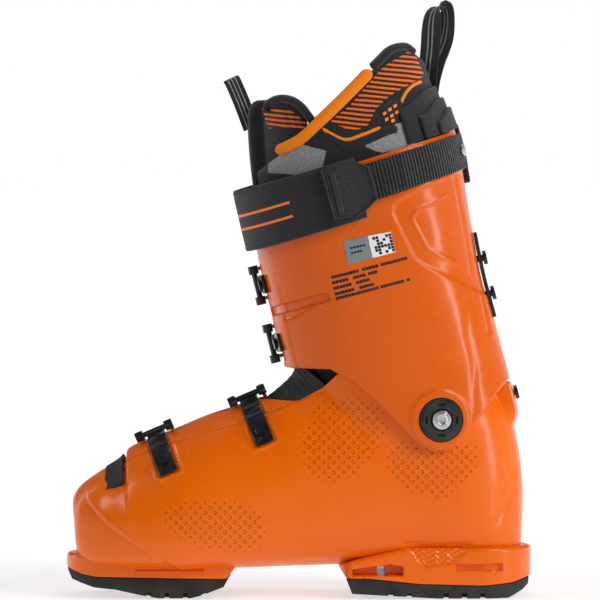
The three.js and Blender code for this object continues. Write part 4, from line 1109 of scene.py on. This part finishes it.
TONGUE_REACH = 0.36
TONGUE_KNIT = [(-24.1, 319.4), (-16.3, 320.7), (-4.4, 317.5), (4.8, 310.2), (3.4, 305.6), (-20.2, 306.3)]
TONGUE_ROLL = [(-27.4, 316.8), (-26.1, 322.1), (-21.5, 325.3), (-14.9, 326.7), (-7.1, 325.3), (-1.1, 321.4),
               (3.4, 316.2), (7.4, 310.9)]


def tongue():
    columns = np.linspace(-TONGUE_REACH, TONGUE_REACH, 90)
    top = edge_at(TONGUE_TOP, columns, -8, 20, 27)

    def place(s, t):
        v = lerp(-TONGUE_REACH, TONGUE_REACH, t)
        return lerp(13.8, np.interp(v, columns, top), s), v

    def middle(u, v):
        tuck = smooth(np.abs(v), 0.06, 0.105)
        return (lerp(-0.4, -8.6, tuck) + -14 + 2 * tuck) / 2

    def thick(u, v):
        tuck = smooth(np.abs(v), 0.06, 0.105)
        return lerp(13.6, 3.4, tuck)

    def stripes(u, v, p):
        return smooth(depth_in(TONGUE_KNIT, p[..., 0], p[..., 2]), -0.6, 0.6)

    data = {"zone": stripes, "felt": lambda u, v, p: np.zeros(u.shape)}
    made = pad("tongue_visual", place, middle, thick, 120, 100, LINER, None, data=data)
    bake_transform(made)
    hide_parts("liner_tongue")


tongue()


def gasket():
    def middle(u, v):
        return -1.3 + 0.1 * np.sin(u * 2 * math.pi / 0.42)

    def place(s, t):
        return lerp(10.95, 14.5, s), lerp(-0.265, 0.265, t)

    made = pad("gasket_visual", place, middle, 1.5, 90, 60, RUBBER, None)
    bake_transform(made)
    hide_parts("instep_gasket")


gasket()


# Trim along the liner: its side-view line, radius, height over the form, material and flatness.
TRIMS = {
    "collar_band": ([(-14.3, 291.2), (-5.7, 295.1), (2.1, 299.7), (10, 307), (23.1, 319.4), (36.3, 332.6),
                     (46.8, 343.7)], 3.7, 1.2, TRIM, 0.75),
    "collar_binding": ([(48.1, 345.7), (53.3, 351), (59.3, 356.9), (64.5, 358.8), (69.8, 358.8), (75, 354.9)],
                       2.9, 0.2, PADDING, 0.8),
    "tongue_roll": (TONGUE_ROLL, 2.7, -7.5, PADDING, 0.9),
    "piping_lower": ([(15.3, 306.3), (23.1, 301.7), (31, 299.1), (41.5, 302.4), (52.7, 307)],
                     1.1, 0.8, TRIM, 0.5),
    "piping_upper": ([(65.8, 322.7), (69.1, 329.3), (73.7, 333.9), (79.6, 336.5)], 1.1, 0.8, TRIM, 0.5),
    "band_dark": ([(16.6, 303), (31, 295.1), (42.8, 298.4), (54.7, 303.7), (63.9, 306.3)],
                  3.0, 0.5, PADDING, 0.3),
}
PATCH = [(50.7, 318.1), (58.6, 324), (67.1, 324.7), (62.5, 308.9)]
PATCH_SPOTS = [(54, 316.2), (57.3, 318.8), (60.6, 321.1), (55.3, 312.5), (58.6, 314.8), (61.9, 317.1),
               (59.3, 311.6)]


def roll(name, line, radius, d, material, squash, side):
    count = 60
    path = on_surface(line, d, side, count)
    ease = np.clip(np.sin(np.linspace(0, math.pi, count)) * 9, 0, 1) ** 0.5
    half_way = path[count // 2]
    out = half_way - np.array([half_way[0], 0, half_way[2]])
    made = tube(name, path, np.maximum(radius * ease, 0.3), material, "cuff", 18, squash, tuple(out))


for side, tag in ((-1, "medial"), (1, "lateral")):
    for name, trim in TRIMS.items():
        roll(f"{name}_{tag}", *trim, side)
    decal(f"patch_{tag}", PATCH, 0.9, 0.6, PADDING, "cuff", side)
    spots = [[(x, z), (x + 2.1, z + 1.05), (x + 2.5, z - 0.92), (x + 0.4, z - 1.97)] for x, z in PATCH_SPOTS]
    marks(f"patch_spots_{tag}", spots, 1.25, 0.15, ORANGE_PRINT, "cuff", side)

# ---- Power strap -------------------------------------------------------------------------------
STRAP_END = 0.96


def strap_inside(v):
    return CUFF_DECK + 0.4 + 4 * (1 - smooth(np.abs(v), 0.08, 0.4))


def strap_piece(name, us, vs, low, high, rows, columns, material, node=None):
    def place(s, t):
        return lerp(*us, s), lerp(*vs, t)

    def middle(u, v):
        return strap_inside(v) + (low + high) / 2

    made = pad(name, place, middle, high - low, rows, columns, material, "cuff")
    if node:
        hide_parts(node)
    return made


def strap_line(points, lift):
    """A path over the strap through u, v pairs."""
    p = spline(points, 60)
    return skin(p[:, 0], p[:, 1], strap_inside(p[:, 1]) + lift)


STRAP_FREE_END = 0.512


def webbing_rise(v):
    return lerp(2.3, 0.1, smooth(-v, 0.63, 0.7))


strap_piece("strap_visual", (21.9, 24.1), (-STRAP_FREE_END, STRAP_END), 0, 2, 40, 280, STRAP, "power_strap")
webbing = pad(
    "webbing_visual", lambda s, t: (lerp(22.35, 23.75, s), lerp(-0.95, -0.42, t)),
    lambda u, v: strap_inside(v) + webbing_rise(v) + 0.95, 1.9, 30, 160, WEBBING, "cuff",
)
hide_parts("strap_webbing")
# The slider: a stiff wing whose outline runs around these u, v corners.
WING = [(22.05, -0.415), (23.98, -0.41), (24.0, -0.44), (24.02, -0.488), (23.93, -0.507), (23.62, -0.545),
        (22.45, -0.55), (22.2, -0.515), (22.02, -0.47)]


def wing_row(v):
    """The lowest and highest u of the slider's outline at each v."""
    u = np.array([p[0] for p in WING])
    at = np.array([p[1] for p in WING])
    top, low = slice(1, 6), [0, 8, 7, 6]
    order = np.argsort(at[top])
    high = np.interp(v, at[top][order], u[top][order])
    at_low, u_low = at[low], u[low]
    order = np.argsort(at_low)
    return np.interp(v, at_low[order], u_low[order]), high


def wing_place(s, t):
    v = lerp(-0.548, -0.412, t)
    low, high = wing_row(v)
    return lerp(low, high, s), v


def wing_middle(u, v):
    return strap_inside(v) + 5.1


slider = pad("slider_visual", wing_place, wing_middle, 1.2, 40, 60, PLASTIC_DIMPLED, "cuff")
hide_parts("strap_slider")
outline = WING + WING[:1]
rim = np.concatenate([strap_line([a, b], 5.75)[::6] for a, b in zip(outline, outline[1:])])
tube("slider_rim", rim, 0.85, PLASTIC, "cuff", 12)
strap_piece("slider_grip", (22.25, 23.8), (-0.445, -0.428), 5.5, 6.3, 30, 12, PLASTIC, None)


def stitches(name, lines, lift, material, pitch=2.2, radius=0.28):
    """Rows of short threads over the strap, in one mesh."""
    points, faces = [], []
    for line in lines:
        path = strap_line(line, lift)
        for start in np.arange(0.3, run_length(path)[-1] - pitch * 0.7, pitch):
            spots = along_line(path, np.linspace(start, start + pitch * 0.68, 4))
            ahead = spots[-1] - spots[0]
            ahead /= np.linalg.norm(ahead)
            side = np.cross(ahead, [0.3, 0.9, 0.2])
            side /= np.linalg.norm(side)
            lifted = np.cross(side, ahead)
            base = len(points)
            for i, spot in enumerate(spots):
                r = radius * (0.55 if i in (0, 3) else 1)
                for turn in np.linspace(0, 2 * math.pi, 6, endpoint=False):
                    points.append(spot + r * (side * math.cos(turn) + lifted * math.sin(turn)))
            faces += grid_faces(4, 6, True, base)
            faces += [tuple(range(base, base + 6))[::-1], tuple(range(base + 18, base + 24))]
    return mesh_object(name, np.array(points), faces, material, "cuff", None, 60)


BOX = [(22.45, -0.64), (22.45, -0.56), (23.65, -0.56), (23.65, -0.64)]
box_lines = [[BOX[i], BOX[(i + 1) % 4]] for i in range(4)] + [[BOX[0], BOX[2]], [BOX[1], BOX[3]]]
stitches("webbing_stitches", box_lines, 4.25, PADDING)
edge_lines = [[(u, v), (u, v + 0.2)] for u in (22.0, 24.0) for v in np.arange(-0.5, 0.72, 0.2)]
stitches("strap_edge_stitches", edge_lines, 2.05, PADDING)


for k, u in enumerate((22.75, 23.25)):
    stripe = strap_line([(u, -0.02), (u, -0.29)], 2.05)
    tube(f"strap_stripe_{k}", stripe, 0.85, ORANGE_PRINT, "cuff", 10, 0.3)

# ---- Pull loops, spoiler and the like ----------------------------------------------------------
def ribbon(name, path, across, half, thick, material, count=90, lift=0.0, shift=0.0):
    """A flat woven band along a path in millimetres, with the way its width points at each place."""
    across = np.asarray(across, float)
    share = np.linspace(0, 1, count)
    way = np.stack([np.interp(share, np.linspace(0, 1, len(across)), across[:, k]) for k in range(3)], 1)
    p = spline(path, count)
    ahead = np.gradient(p, axis=0)
    ahead /= np.linalg.norm(ahead, axis=1)[:, None]
    way -= ahead * (way * ahead).sum(1)[:, None]
    way /= np.linalg.norm(way, axis=1)[:, None]
    face = np.cross(ahead, way)
    p = p + face * lift + way * shift
    turn = np.linspace(0, 2 * math.pi, 28, endpoint=False)
    w = np.sign(np.cos(turn)) * np.abs(np.cos(turn)) ** 0.35 * half
    h = np.sign(np.sin(turn)) * np.abs(np.sin(turn)) ** 0.6 * thick / 2
    points = p[:, None] + way[:, None] * w[None, :, None] + face[:, None] * h[None, :, None]
    n, m = count, len(turn)
    faces = grid_faces(n, m, True) + [tuple(range(m))[::-1], tuple(range((n - 1) * m, n * m))]
    uv = np.stack(np.broadcast_arrays(w[None, :], run_length(p)[:, None]), -1) * MM
    return mesh_object(name, points.reshape(-1, 3), faces, material, "cuff", uv.reshape(-1, 2), 60)


HEEL_LOOP = [(85.5, 0, 327.3), (84.2, 0, 337.8), (86.2, 0, 357.5), (87.5, 0, 377.2), (90.8, 0, 384.4),
             (95.4, 0, 385.1), (97.3, 0, 377.9), (95.4, 0, 364.1), (90.1, 0, 351), (86.8, 0, 339.1),
             (85.5, 0, 329.9)]
heel_ways = [(0.75, -0.65, 0.1), (0.8, -0.6, 0), (0.8, -0.6, 0), (0.8, -0.6, 0), (0.7, -0.7, 0.2),
             (0.5, -0.8, 0.5), (0.7, -0.7, 0.2), (0.8, -0.6, 0), (0.8, -0.6, 0), (0.75, -0.65, 0.1)]
heel_loop = ribbon("heel_loop_visual", HEEL_LOOP, heel_ways, 7.8, 1.5, LOOP)
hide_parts("heel_pull_loop")
for tag, lift in (("out", 0.75), ("in", -0.75)):
    for line, shift in enumerate((-1.6, 1.6)):
        name = f"heel_loop_stripe_{tag}_{line}"
        ribbon(name, HEEL_LOOP, heel_ways, 0.55, 0.4, SILVER_THREAD, lift=lift, shift=shift)
TONGUE_LOOP = [(-31, -2.4, 306), (-37, -2.6, 322), (-42.5, -2.2, 335), (-44.5, 0, 338.5), (-42.5, 2.2, 335),
               (-37, 2.6, 322), (-31, 2.4, 306)]
tongue_ways = [(0.95, 0, 0.4)] * 7
front_loop = ribbon("tongue_loop_visual", TONGUE_LOOP, tongue_ways, 5.4, 1.3, LOOP)
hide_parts("tongue_pull_loop")
for tag, lift in (("out", 0.65), ("in", -0.65)):
    for line, shift in enumerate((-2.4, 0, 2.4)):
        name = f"tongue_loop_stripe_{tag}_{line}"
        ribbon(name, TONGUE_LOOP, tongue_ways, 0.35, 0.3, SILVER_THREAD, lift=lift, shift=shift)

# Three leaves behind the liner, each lower and further out than the one before.
LEAVES = [(25.45, 0.70, 0.9), (25.05, 0.76, 3.3), (24.7, 0.82, 5.7)]


def leaf(k, top, start, inside_at):
    def place(s, t):
        v = lerp(start, 2 - start, t)
        drop = 0.35 * smooth(np.abs(v - 1), (1 - start) * 0.45, 1 - start)
        return lerp(23.95, top - drop, s), v

    made = pad(f"spoiler_leaf_{k}", place, inside_at + 1.1, 2.2, 40, 90, PADDING, "cuff")
    return made


for k, (top, start, inside_at) in enumerate(LEAVES):
    made = leaf(k, top, start, inside_at)
    if k == 0:
        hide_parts("spoiler")

# ---- Finishes on the CAD pieces that show as they are --------------------------------------------
LOOKS = {
    "sole": RUBBER, "screw": STEEL, "rivet": STEEL, "pin": STEEL, "bolt": STEEL, "ladder": DARK_METAL,
    "base": DARK_METAL, "lever": DARK_METAL, "bail": DARK_METAL, "cam": PLASTIC, "plate": DARK_METAL,
    "insert": RUBBER, "board": PLASTIC, "liner_foot": PADDING, "pull_loop": LOOP,
}
for name, node in NODES.items():
    look = [material for word, material in LOOKS.items() if word in name]
    if not look:
        continue
    if any(word in name for word in ("_pin", "screw", "strap_rivet", "pivot_bolt")):
        material = STEEL
    elif any(word in name for word in ("rivet", "spine")):
        material = DARK_METAL
    else:
        material = look[-1]
    node.data.materials.clear()
    node.data.materials.append(material)
    weld = node.modifiers.new("weld", "WELD")
    weld.merge_threshold = 0.00002
    bevel = node.modifiers.new("bevel", "BEVEL")
    bevel.width = 0.00045
    bevel.segments = 3
    bevel.limit_method = "ANGLE"
    bevel.angle_limit = math.radians(32)
    bevel.harden_normals = True
    node.data.shade_smooth()

# ---- Floor -------------------------------------------------------------------------------------
def studio_floor():
    """A pale floor that glows around the boot, more behind it and less in front."""
    bpy.ops.mesh.primitive_plane_add(size=30, location=(0, 0, -0.0004))
    floor = bpy.context.active_object
    floor.name = "floor"
    paint = Paint("floor_white", (0.5, 0.5, 0.5), 0.6)
    paint.set("Specular IOR Level", 0.2)
    paint.set("Emission Color", (1, 1, 1, 1))
    y = paint.split(paint.place())["Y"]
    near = paint.ranged(y, 0.3, 0.62, -0.5, -0.09, kind="SMOOTHSTEP")
    far = paint.ranged(y, 0, 0.38, 0.05, 0.7, kind="SMOOTHSTEP")
    paint.link(paint.math("ADD", near, far), "Emission Strength")
    floor.data.materials.append(paint.material)


studio_floor()
